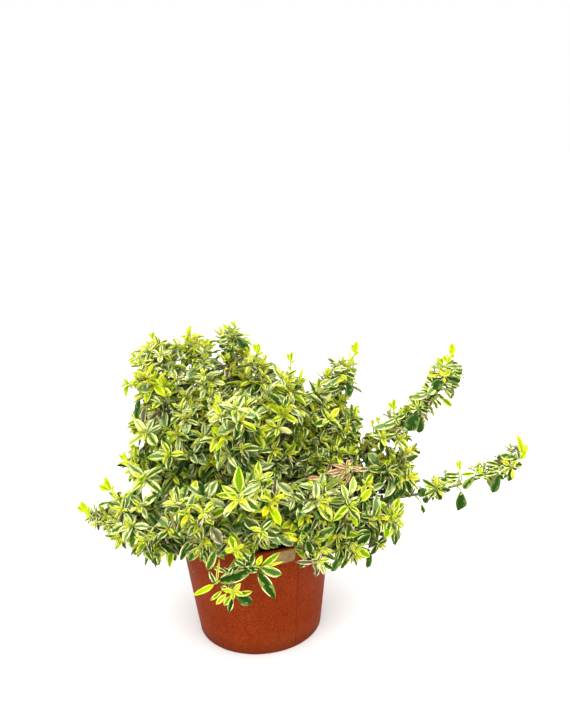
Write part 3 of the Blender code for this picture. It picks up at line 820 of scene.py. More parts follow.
def makeLeafBlank():
    # A grid with both ends drawn to a point, closed by an underside that has only a midline
    columns, rows = leafRule["columns"], leafRule["rows"]
    pick(None)
    bpy.ops.mesh.primitive_grid_add(x_subdivisions=columns, y_subdivisions=rows, size=2)
    blank = bpy.context.object
    for end in (-1, 1):
        editMesh(blank, vertTest=lambda co: abs(co.y - end) < 0.001)
        bpy.ops.mesh.merge(type="CENTER")
    bpy.ops.mesh.select_all(action="SELECT")
    bpy.ops.mesh.duplicate()
    bpy.ops.transform.translate(value=(0, 0, -1))
    bpy.ops.mesh.flip_normals()
    bpy.ops.object.mode_set(mode="OBJECT")
    verts = blank.data.vertices

    def isExtra(edge):
        # On the underside, an edge between the outline and the midline that runs lengthwise
        ends = [verts[index].co for index in edge.vertices]
        inner = [0.1 < abs(co.x) < 0.9 for co in ends]
        return all(co.z < -0.5 for co in ends) and any(inner) and abs(ends[0].y - ends[1].y) > 0.01

    chosen = [edge.index for edge in blank.data.edges if isExtra(edge)]
    editMesh(blank)
    bpy.ops.mesh.select_mode(type="EDGE")
    bpy.ops.object.mode_set(mode="OBJECT")
    for index in chosen:
        blank.data.edges[index].select = True
    bpy.ops.object.mode_set(mode="EDIT")
    bpy.ops.mesh.dissolve_edges(use_verts=True)
    editMesh(blank, vertTest=lambda co: co.z < -0.5 and (abs(co.x) > 0.9 or abs(co.y) > 0.999))
    bpy.ops.transform.translate(value=(0, 0, 1))
    bpy.ops.mesh.select_all(action="SELECT")
    bpy.ops.mesh.remove_doubles(threshold=0.001)
    bpy.ops.mesh.normals_make_consistent(inside=False)
    bpy.ops.object.mode_set(mode="OBJECT")
    return blank


class LeafBlank:
    # The blank's points as rows and columns, and which part of the leaf each of its faces is
    def __init__(self):
        blank = makeLeafBlank()
        points = np.array([vert.co for vert in blank.data.vertices])
        half = leafRule["columns"] / 2
        self.column = np.rint(points[:, 0] * half).astype(int)
        self.along = (points[:, 1] + 1) / 2
        self.row = np.rint(self.along * leafRule["rows"]).astype(int)
        self.under = points[:, 2] < -0.5
        self.faces = [tuple(face.vertices) for face in blank.data.polygons]
        self.parts = np.array([self.partOf(face, half) for face in blank.data.polygons])
        flat = [index for face in self.faces for index in face]
        self.uv = np.stack([points[flat, 0] / 2 + 0.5, self.along[flat]], axis=1)
        bpy.data.objects.remove(blank, do_unlink=True)

    def partOf(self, face, half):
        # 0 heart, 1 flush, 2 edge, 3 underside
        if face.normal.z < 0:
            return 3
        return min(2, int(abs(face.center.x) * half + 0.2))


leafBlank = LeafBlank()
leafDice = np.random.default_rng(leafRule["seed"])


def leafColumn(leaves, key):
    return np.array([one[key] for one in leaves])[:, None]


def leafPoints(leaves):
    # Every leaf's points at once: the blank bent, folded, waved and turned to its place
    blank, rule = leafBlank, leafRule
    count, width, rows = len(leaves), len(blank.along), leafRule["rows"] + 1
    root, axis, face = (np.array([one[key] for one in leaves]) for key in ("root", "along", "faceUp"))
    across = np.cross(axis, face)
    size, aspect, bend, blunt = (leafColumn(leaves, key) for key in ("length", "aspect", "bend", "blunt"))
    bend = np.where(np.abs(bend) < rule["leastBend"], rule["leastBend"], bend)
    fold = leafDice.uniform(*rule["fold"], (count, 1))
    twist = leafDice.normal(0, rule["twist"], (count, 1))
    v = blank.along[None, :]
    # Outline: widest a little past the middle on blunt leaves, before it on pointed ones
    outline = np.sin(np.pi * np.clip(v, 0, 1) ** (0.82 + 0.40 * blunt)) ** (0.95 - 0.42 * blunt)
    halfWidth = outline * size * aspect / 2
    # How far the heart and the flush reach on each side, row by row
    side = (blank.column > 0).astype(int)
    edge = leafColumn(leaves, "edge")[:, :, None] * leafDice.uniform(*rule["edgeSway"], (count, 2, rows))
    heart = leafDice.uniform(*rule["heartShare"], (count, 1, 1))
    heart = heart * leafDice.uniform(*rule["heartSway"], (count, 2, rows))
    edgeHere = 1 - edge[:, side, blank.row]
    heartHere = edgeHere * np.clip(heart[:, side, blank.row], *rule["heartLimits"])
    step, sign = np.abs(blank.column)[None, :], np.sign(blank.column)[None, :]
    out = np.where(step == 3, 1.0, np.where(step == 2, edgeHere, np.where(step == 1, heartHere, 0.0)))
    x = sign * out * halfWidth
    phase = leafDice.uniform(0, math.tau, (count, 1))
    wave = rule["wave"] * np.sin(v * rule["waves"] + phase + 2.2 * sign) * out**2 * halfWidth
    lift = np.abs(x) * np.sin(fold) + wave - blank.under[None, :] * rule["thick"]
    x = x * np.cos(fold)
    turn = bend * v
    forward = size / bend * np.sin(turn)
    down = -size / bend * (1 - np.cos(turn))
    roll = twist * v
    xTurned = x * np.cos(roll) - lift * np.sin(roll)
    liftTurned = x * np.sin(roll) + lift * np.cos(roll)
    ahead = forward + liftTurned * np.sin(turn)
    above = down + liftTurned * np.cos(turn)
    points = root[:, None, :] + axis[:, None, :] * ahead[:, :, None]
    points = points + face[:, None, :] * above[:, :, None] + across[:, None, :] * xTurned[:, :, None]
    return points.reshape(count * width, 3)


def leafSlots(leaves):
    # Each face's material: its part of the leaf in the leaf's tint, with a few stray patches
    rule = leafRule
    parts = np.tile(leafBlank.parts, (len(leaves), 1))
    isLong = leafColumn(leaves, "length") > rule["longFrom"]
    stray = leafDice.random(parts.shape) < np.where(isLong, rule["longPatchShare"], rule["patchShare"])
    step = np.where(leafDice.random(parts.shape) < 0.5, 1, -1)
    parts = np.where(stray & (parts < 3), np.clip(parts + step, 0, 2), parts)
    tints = np.array([tintNames.index(one["tint"]) for one in leaves])[:, None]
    return (tints * len(partNames) + parts).ravel()


def makeVeinGroup():
    # Height of the midrib and side veins, from the leaf's own map
    group, given, result = newGroup("leafVeins", {"Veins": leafRule["veins"]}, ("Height",))
    place = addNode(group, "ShaderNodeUVMap", uv_map="leafMap")
    spot = addNode(group, "ShaderNodeSeparateXYZ", {"Vector": place.outputs["UV"]})
    aside = calculate(group, "ABSOLUTE", calculate(group, "SUBTRACT", spot.outputs["X"], 0.5))
    slant = calculate(group, "MULTIPLY_ADD", aside, -0.9, spot.outputs["Y"])
    count = calculate(group, "MULTIPLY", slant, given.outputs["Veins"])
    crest = calculate(group, "COSINE", calculate(group, "MULTIPLY", count, math.tau))
    veins, rib = ramp(group, crest, 0.75, 1.0, 1.0, 0.55), ramp(group, aside, 0.0, 0.05)
    group.links.new(calculate(group, "MULTIPLY", veins, rib), result.inputs["Height"])
    return group


def makeLeafMaterials():
    veinGroup = makeVeinGroup()
    materials = []
    for tint, colours in leafTints.items():
        for part, colour in zip(partNames, colours):
            roughness = 0.65 if part == "Under" else 0.45
            material, tree, shader = newMaterial(
                f"{tint}{part}", tone(*colour), roughness, Specular_IOR_Level=0.04)
            relief(tree, shader, placeGroup(tree, veinGroup).outputs["Height"], 0.35, 0.0004)
            materials.append(material)
    return materials


def buildLeaves(name, leaves, materials, nodes):
    faces = manyFaces(leafBlank.faces, len(leafBlank.along), len(leaves))
    mesh = bpy.data.meshes.new(name)
    mesh.from_pydata(leafPoints(leaves).tolist(), [], faces)
    piece = addPiece(name, mesh)
    dress(piece, materials)
    mesh.polygons.foreach_set("material_index", leafSlots(leaves).astype(np.int32))
    mapping = mesh.uv_layers.new(name="leafMap")
    mapping.data.foreach_set("uv", np.tile(leafBlank.uv, (len(leaves), 1)).ravel().astype(np.float32))
    smooth(piece, 48)
    settle(piece, "leaves", *[f"foliage_{shoot}" for shoot in nodes])
    print(name, len(leaves), "leaves,", sum(len(face) - 2 for face in faces), "triangles")


# Growth: the same rule as the solids, with closer nodes and finer twigs

growth = {
    "seed": 31,
    "earliest": 0.16,
    "backInto": 0.12,
    "heights": (0.14, 0.27),
    "nodeStep": (0.0064, 0.0050),
    "nodeTurn": 0.6,
    "nodeSway": 0.35,
    "swellLeast": 0.72,
    "swellMore": 0.38,
    "spaceOverlap": 0.008,
    "spaceSteps": 10,
    "spaceShare": 0.5,
    "potClearance": 0.0012,
    "clearLine": (Vector((0.036, -0.078, 0.121)), Vector((0.0366, -0.1257, 0.1483)), 0.011),
    "openDegrees": (46, 70),
    "twigShare": 0.74,
    "twigLength": (0.30, 1.0),
    "crowding": (0.5, 0.38),
    "twigRadius": 0.00075,
    "heart": Vector((-0.01, 0.085, 0.18)),
    "turnOut": (0.85, 0.75),
    "rise": (0.25, 0.35),
    "rosetteSize": ((0.0205, 0.030), (0.0165, 0.024)),
    "armReach": 0.027,
    "armSize": (0.014, 0.020),
    "oldLeaf": ((0.021, 0.031), (0.016, 0.023)),
    # Old leaves' tints low and high: darker low down, partly as a painted shade
    "oldTints": ("plain plain deep deep dusk dusk", "plain deep old grey grey green"),
    "pairStep": 0.0017,
    "tipSize": 0.7,
    "tipTrim": 0.014,
    "tipTrims": {"left_mid": 0.028, "left_front": 0.022, "right_side": 0.026, "right_low": 0.024,
                 "top": 0.018, "centre_right": 0.026, "left_high": 0.024, "right_top": 0.026,
                 "arm_high": 0.002, "arm_low": 0.002, "front_low": 0.030},
    "tipShifts": {"arm_high": Vector((-0.004, 0, -0.020)), "arm_low": Vector((-0.004, 0, -0.019))},
    "middleLifts": {"arm_high": -0.010, "arm_low": 0.014},
    "freeTo": {"arm_high": 0.46, "arm_low": 0.50, "front_low": 0.62, "left_low": 0.66},
    "frontLean": Vector((0, -0.35, 0)),
    "frontFlat": 0.5,
    "frontPull": 1.4,
    # Up to which share of the shoot, and the chance of a twig there
    "outerChance": {"arm_high": ((1.0, 0.85),), "left_low": ((1.0, 0.75),), "front_low": ((1.0, 0.0),),
                    "arm_low": ((0.62, 0.7), (0.71, 0.2), (0.80, 0.3), (1.0, 0.5))},
    "outerReach": 0.018,
    "outerCloser": 0.8,
    "aheadShare": 0.25,
    "outerSize": {"arm_high": (0.013, 0.018), "arm_low": (0.009, 0.013), "left_low": (0.012, 0.017)},
    "armBroad": 1.25,
    # A share that gives the arms darker tints, a painted shade
    "armShade": 0.7,
    "armOldShare": 0.5,
    "sproutShare": 0.05,
    "sproutLength": (0.014, 0.024),
    "sproutLeaf": (0.008, 0.012),
    "coverReach": 0.05,
    "coverWidth": 0.8,
}
twigRule = {
    # A side twig: its least length, the share of a leaf's length that it stays short of its reach,
    # where it bends, and up to which share of the reach it is woody or bears an old dark spray
    "leastLength": 0.003,
    "leafRoom": 0.62,
    "middle": 0.55,
    "beyond": 0.45,
    "woodyUpTo": 0.8,
    "darkUpTo": 0.55,
    "sizeSway": (0.9, 1.05),
    "endSway": 0.3,
    "pairFrom": 0.011,
    "thinning": 0.11,
    # A twig to a spray placed singly: places looked at along the limb, the earliest foot, how far back
    # and how far along the limb it bends, as shares of the way out
    "places": 80,
    "earliestFoot": 0.02,
    "footBack": 0.5,
    "bendAlong": 0.2,
}
oldLeafRule = {
    "opened": (50, 95),
    "sky": 0.7,
    "widthSway": (1.0, 1.35),
    "bend": (0.2, 1.1),
    "blunt": 0.9,
    "margin": 0.0008,
}
rosetteRule = {
    "pairs": (5, 6, 6, 7),
    "turnSway": 0.35,
    "opened": (80, 58),
    "openedSway": 20,
    "shrink": (0.60, 1.5),
    "lengthSway": (0.8, 1.15),
    "narrow": 0.42,
    "widthSway": (0.75, 1.12),
    "bend": (-0.25, 1.05),
    "placedBroad": 1.15,
}
sproutRule = {
    # Each leaf's place along the shoot, its lean in degrees and its length
    "leaves": ((1.0, 10, 1.0), (1.0, -26, 0.9), (0.9, 50, 0.55), (0.45, -32, 0.5)),
    "leanSway": 8,
    "lengthSway": (0.9, 1.1),
    "tints": ("lime", "lime", "fresh", "lime"),
    "shape": (0.52, 0.1, 0.7, 0.0007),
}
placedRule = {
    # Leaves placed singly: how far they look up, their bend, their margin and its widest share
    "rise": 0.35,
    "bend": 0.2,
    "margin": 0.0022,
    "widestMargin": 0.38,
    "roundTints": ("plain", "grey", "old"),
    # How far in front of an arm, in millimetres: the first leaf, the last one's lead over it, and
    # where x is less than crownUpTo, the lead over the crown for each millimetre
    "armAhead": {"arm_high": 10, "arm_low": 5},
    "armLead": 4,
    "crownUpTo": 165,
    "crownLead": 0.3,
}
moods = {
    # Tints from a rosette's oldest pair to its youngest, edge width, and chance low and high in the crown,
    # where the darker moods' lead low down is partly a painted shade
    "bright": {"tints": ("deep old old green green", "old old green green grey",
                         "green old fresh fresh", "fresh lime gold lime"),
               "edge": (0.0013, 0.0018), "low": 0.20, "high": 0.30},
    "dark": {"tints": ("plain deep deep dusk dusk old grey", "deep dusk dusk old old grey green",
                       "deep dusk old green green fresh", "green fresh fresh lime gold"),
             "edge": (0.0008, 0.0012), "low": 0.80, "high": 0.02},
    "cream": {"tints": ("old grey old grey", "grey grey green pale",
                        "grey pale green fresh", "pale lime fresh gold"),
              "edge": (0.0019, 0.0028), "low": 0.03, "high": 0.56},
    "light": {"tints": ("green soft green fresh", "green soft fresh lime",
                        "fresh lime gold", "lime gold gold"),
              "edge": (0.0012, 0.0018), "low": 0.0, "high": 0.12},
    "rose": {"tints": ("rose rose old deep", "rose rose old green", "rose green pale", "fresh lime"),
             "edge": (0.0009, 0.0014), "low": 0.04, "high": 0.03},
    "young": {"tints": ("green fresh fresh", "fresh lime", "lime lime gold", "lime gold"),
              "edge": (0.0009, 0.0013), "low": 0.03, "high": 0.14},
    "tan": {"tints": ("tan rose rose deep", "tan tan rose old", "tan rose fresh", "rose fresh"),
            "edge": (0.0009, 0.0014), "low": 0.0, "high": 0.0},
}


# Sprays that stand out, each read off the photograph, with places in whole millimetres

def millimetres(place):
    return Vector(place) * 0.001


def rosette(x, y, z, size, mood):
    # Its place, its largest leaf's length and its tints
    return "rosette", millimetres((x, y, z)), size * 0.001, mood


def sprout(x, y, z, topX, topY, topZ, size):
    # A young upright shoot: its foot, its top and its leaf's length
    return "sprout", millimetres((x, y, z)), millimetres((topX, topY, topZ)), size * 0.001


def leaf(x, y, z, tipX, tipY, tipZ, width, tint):
    # A single leaf: its root, its tip, its width and its tint
    return "leaf", millimetres((x, y, z)), millimetres((tipX, tipY, tipZ)), width * 0.001, tint


placed = {
    # Each spray grows from the shoot that it is listed under
    "arm_high": (
        rosette(216, 32, 271, 14, "bright"), rosette(203, 30, 260, 14, "dark"),
        rosette(216, 34, 252, 14, "dark"), rosette(225, 38, 262, 13, "bright"),
        rosette(194, 33, 244, 14, "dark"), rosette(207, 40, 256, 14, "bright"),
        rosette(182, 26, 240, 13, "dark"), rosette(170, 26, 228, 12, "dark"),
        rosette(140, 0, 211, 18, "bright"), rosette(174, 18, 189, 11, "dark"),
        rosette(166, 23, 202, 10, "dark"), rosette(152, 32, 222, 12, "cream"),
        rosette(159, 8, 206, 13, "bright"), sprout(156, 12, 228, 152, 12, 251, 11),
        sprout(160, 12, 228, 162, 12, 241, 6), sprout(133, 14, 212, 131, 14, 229, 7),
        leaf(139, 0, 200, 121, -5, 187, 12, "plain"), leaf(166, 20, 214, 170, 18, 199, 4, "old"),
        sprout(137, 10, 222, 137, 10, 234, 6),
    ),
    "arm_low": (
        rosette(268, -18, 183, 10, "dark"), rosette(262, -10, 184, 10, "dark"),
        rosette(275, -14, 187, 9, "bright"), rosette(174, -8, 160, 10, "dark"),
        rosette(206, -8, 165, 9, "dark"), rosette(195, -14, 162, 10, "bright"),
        sprout(219, -17, 168, 219, -17, 190, 9), leaf(276, -19, 187, 282, -20, 198, 4, "green"),
    ),
    "right_top": (
        rosette(106, 54, 266, 12, "dark"), rosette(111, 42, 227, 10, "young"),
        rosette(114, 36, 213, 9, "young"), sprout(114, 55, 268, 119, 57, 303, 13),
        leaf(109, 46, 269, 93, 43, 276, 7, "old"), leaf(107, 45, 265, 84, 42, 270, 8, "deep"),
        leaf(104, 44, 259, 80, 41, 262, 8, "old"), leaf(105, 43, 254, 78, 40, 258, 8, "deep"),
        leaf(102, 42, 251, 82, 39, 250, 8, "old"), leaf(111, 42, 268, 111, 39, 280, 6, "green"),
        leaf(99, 40, 254, 82, 37, 247, 6, "pale"), leaf(99, 40, 249, 99, 37, 238, 5, "gold"),
        leaf(101, 39, 255, 78, 36, 252, 8, "grey"), leaf(109, 39, 280, 92, 36, 281, 5, "grey"),
        leaf(89, 38, 269, 77, 35, 264, 6, "pale"), leaf(84, 38, 272, 88, 35, 283, 6, "lime"),
        leaf(102, 36, 261, 77, 33, 257, 9, "old"), leaf(102, 35, 273, 82, 32, 261, 7, "grey"),
        leaf(106, 34, 266, 109, 31, 251, 14, "plain"), leaf(106, 34, 276, 115, 31, 273, 7, "deep"),
        leaf(106, 32, 274, 95, 29, 268, 5, "gold"), leaf(107, 31, 269, 100, 28, 277, 5, "fresh"),
    ),
    "right_upper": (
        rosette(84, 14, 230, 19, "bright"), leaf(70, 28, 236, 70, 28, 251, 6, "gold"),
    ),
    "top": (
        rosette(-14, 64, 313, 10, "dark"), leaf(-16, 48, 310, -20, 46, 296, 11, "plain"),
        rosette(-16, 58, 301, 11, "light"), rosette(-9, 62, 292, 12, "dark"),
        leaf(-19, 62, 322, -26, 60, 331, 4, "lime"), leaf(-15, 62, 321, -6, 60, 325, 4, "grey"),
        leaf(-19, 50, 319, -30, 48, 318, 7, "old"), leaf(-14, 62, 317, -7, 60, 324, 4, "gold"),
        leaf(-19, 50, 315, -30, 48, 312, 7, "grey"), leaf(-18, 50, 308, -28, 48, 307, 8, "deep"),
        leaf(-17, 64, 308, -19, 62, 319, 4, "soft"), leaf(-12, 64, 309, -15, 62, 319, 4, "gold"),
        leaf(-11, 54, 315, 1, 52, 301, 11, "plain"), leaf(-18, 52, 306, -22, 50, 293, 9, "deep"),
        leaf(-24, 54, 286, -28, 52, 301, 5, "gold"), leaf(-11, 60, 293, -11, 58, 306, 5, "gold"),
        leaf(-12, 50, 294, 1, 48, 284, 10, "grey"), leaf(-25, 52, 283, -40, 50, 291, 8, "grey"),
        leaf(-24, 46, 275, -34, 44, 258, 8, "grey"), leaf(-22, 46, 279, -22, 44, 261, 7, "old"),
        leaf(10, 46, 292, -4, 44, 304, 5, "soft"), leaf(-18, 56, 299, -28, 54, 294, 6, "old"),
        leaf(-13, 60, 302, -1, 58, 306, 5, "old"), leaf(-17, 62, 319, -19, 60, 330, 4, "fresh"),
    ),
    "left_back_top": (
        rosette(-61, 55, 317, 16, "young"), rosette(-44, 50, 306, 11, "young"),
        leaf(-42, 50, 300, -40, 48, 312, 7, "green"), rosette(-73, 50, 306, 16, "cream"),
    ),
    "left_top": (
        sprout(-103, 54, 303, -102, 56, 326, 9), rosette(-102, 32, 311, 13, "cream"),
        rosette(-90, 30, 306, 13, "cream"),
    ),
    "centre_top": (
        sprout(12, 36, 286, 12, 38, 313, 13),
    ),
    "centre_right": (
        sprout(46, 18, 280, 47, 18, 307, 11),
    ),
    "left_high": (
        rosette(-116, 22, 306, 10, "young"), rosette(-121, 0, 285, 11, "young"),
        rosette(-110, 24, 297, 16, "cream"), rosette(-113, 16, 283, 13, "light"),
        rosette(-105, -10, 234, 23, "cream"), leaf(-112, 0, 270, -119, -3, 247, 10, "plain"),
        leaf(-107, -4, 262, -112, -8, 244, 9, "rose"), leaf(-124, 2, 282, -128, 0, 272, 6, "lime"),
    ),
    "left_mid": (
        rosette(-109, -35, 194, 23, "cream"), rosette(-81, -30, 216, 24, "bright"),
        sprout(-112, -32, 198, -135, -22, 218, 11), leaf(-81, -32, 216, -107, -30, 216, 9, "green"),
    ),
    "left_low": (
        rosette(-129, -50, 167, 23, "dark"), rosette(-121, -60, 154, 23, "cream"),
        rosette(-112, -50, 170, 19, "cream"), rosette(-138, -46, 150, 18, "dark"),
        rosette(-134, -55, 139, 17, "bright"), rosette(-134, -42, 174, 18, "bright"),
        leaf(-122, -54, 131, -121, -56, 117, 7, "plain"), leaf(-104, -66, 143, -123, -66, 149, 8, "grey"),
        leaf(-100, -60, 130, -101, -62, 108, 13, "plain"),
        leaf(-137, -50, 150, -148, -52, 156, 7, "plain"), leaf(-113, -50, 174, -123, -52, 184, 8, "grey"),
        leaf(-104, -60, 167, -95, -62, 154, 9, "plain"), leaf(-117, -46, 186, -106, -48, 206, 9, "green"),
        leaf(-146, -46, 175, -157, -48, 173, 5, "old"), rosette(-160, -42, 149, 10, "dark"),
        rosette(-148, -46, 149, 10, "bright"), rosette(-166, -36, 153, 9, "dark"),
        rosette(-140, -46, 160, 12, "cream"), sprout(-133, -46, 172, -152, -38, 196, 15),
        sprout(-165, -42, 155, -178, -40, 172, 14), leaf(-118, -62, 152, -101, -66, 145, 7, "old"),
        leaf(-120, -58, 139, -125, -57, 118, 7, "old"),
    ),
    "left_front": (
        rosette(-82, -75, 156, 23, "dark"), leaf(-98, -62, 131, -103, -64, 109, 11, "plain"),
        leaf(-62, -90, 149, -72, -94, 131, 9, "deep"), leaf(-82, -78, 149, -76, -80, 169, 9, "gold"),
    ),
    "rim_left": (
        leaf(-35, -100, 145, -45, -106, 126, 9, "old"), leaf(-38, -104, 172, -28, -112, 157, 11, "rose"),
    ),
    "front_left": (
        rosette(-44, -102, 186, 18, "rose"), leaf(-43, -104, 183, -42, -105, 194, 6, "rose"),
    ),
    "front_centre": (
        rosette(-9, -106, 200, 23, "cream"), leaf(-8, -106, 208, -8, -102, 233, 11, "green"),
        leaf(-7, -108, 206, 12, -112, 218, 7, "grey"), leaf(-10, -108, 206, -30, -113, 210, 7, "green"),
    ),
    "rim_front": (
        rosette(11, -112, 169, 20, "dark"), rosette(-15, -108, 149, 13, "young"),
        leaf(2, -108, 144, -6, -117, 131, 9, "deep"),
    ),
    "front_low": (
        leaf(-1, -118, 131, -35, -120, 121, 14, "deep"), leaf(5, -116, 130, 21, -118, 97, 12, "deep"),
        leaf(7, -115, 132, 28, -117, 124, 10, "old"), leaf(8, -111, 130, 27, -114, 146, 8, "green"),
        leaf(9, -112, 130, 30, -116, 137, 3, "gold"), leaf(7, -112, 128, -9, -118, 133, 9, "deep"),
        leaf(4, -113, 133, 10, -115, 144, 6, "lime"), leaf(-2, -114, 138, -8, -116, 149, 6, "deep"),
        leaf(-12, -116, 135, -23, -118, 130, 6, "dusk"), leaf(-6, -114, 132, -17, -116, 141, 6, "old"),
        leaf(-2, -117, 129, -12, -119, 124, 5, "deep"), leaf(-26, -114, 128, -37, -116, 135, 5, "old"),
        leaf(-20, -114, 126, -29, -116, 134, 5, "dusk"), leaf(-37, -120, 119, -59, -122, 108, 7, "lime"),
        leaf(-36, -121, 120, -41, -124, 135, 5, "deep"), leaf(-35, -121, 120, -31, -125, 147, 3, "green"),
        leaf(-30, -122, 113, -42, -124, 103, 5, "green"), leaf(-26, -123, 110, -37, -125, 99, 6, "fresh"),
        leaf(-19, -124, 112, -12, -126, 119, 5, "gold"), leaf(-17, -122, 108, -1, -124, 111, 7, "green"),
        leaf(-22, -122, 113, -31, -124, 118, 5, "old"), leaf(-22, -124, 108, -29, -126, 98, 6, "green"),
        leaf(-17, -121, 110, -2, -123, 97, 13, "plain"), leaf(-20, -123, 106, -25, -125, 89, 7, "deep"),
        rosette(-19, -124, 113, 10, "young"), leaf(-24, -118, 126, -18, -121, 137, 5, "deep"),
    ),
    "rim_right": (
        rosette(64, -99, 127, 12, "rose"), leaf(62, -101, 127, 42, -107, 131, 6, "rose"),
        leaf(54, -98, 149, 59, -104, 131, 9, "deep"), leaf(64, -101, 126, 61, -105, 112, 7, "rose"),
        leaf(66, -101, 126, 70, -103, 113, 5, "pale"), leaf(67, -99, 126, 79, -98, 116, 8, "deep"),
    ),
    "front_right": (
        rosette(96, -66, 210, 10, "tan"), leaf(93, -68, 212, 88, -70, 222, 4, "fresh"),
        leaf(100, -70, 206, 95, -73, 196, 4, "tan"), leaf(96, -71, 210, 87, -74, 200, 5, "tan"),
        leaf(99, -71, 212, 81, -74, 219, 4, "tan"), leaf(98, -72, 212, 74, -75, 209, 5, "tan"),
        leaf(97, -73, 211, 79, -76, 206, 4, "rose"), leaf(94, -74, 212, 89, -77, 203, 4, "tan"),
        leaf(102, -72, 214, 111, -75, 211, 4, "tan"), leaf(70, -74, 205, 57, -77, 206, 5, "tan"),
        leaf(100, -66, 208, 122, -62, 206, 5, "rose"), rosette(95, -84, 177, 20, "bright"),
        leaf(99, -82, 188, 103, -80, 207, 9, "pale"), leaf(95, -84, 184, 91, -84, 201, 8, "pale"),
        leaf(108, -76, 178, 121, -72, 189, 9, "fresh"), leaf(97, -86, 174, 105, -90, 157, 7, "lime"),
    ),
    "right_low": (
        rosette(128, -48, 113, 11, "dark"), leaf(118, -52, 110, 118, -55, 90, 9, "plain"),
        leaf(96, -78, 120, 88, -84, 108, 8, "deep"), leaf(84, -88, 122, 78, -92, 110, 8, "plain"),
    ),
    "right_side": (
        rosette(142, -42, 138, 18, "bright"), leaf(143, -41, 136, 153, -38, 124, 9, "plain"),
        leaf(143, -43, 130, 149, -44, 109, 10, "plain"), leaf(140, -43, 138, 122, -48, 141, 11, "grey"),
    ),
    "right_mid": (
        rosette(163, -10, 170, 18, "bright"), rosette(116, -58, 187, 13, "young"),
        leaf(160, -12, 172, 145, -14, 183, 7, "rose"), leaf(163, -11, 163, 152, -18, 151, 12, "plain"),
        leaf(148, -16, 157, 137, -23, 142, 13, "plain"), leaf(140, -20, 171, 125, -27, 167, 8, "grey"),
    ),
}
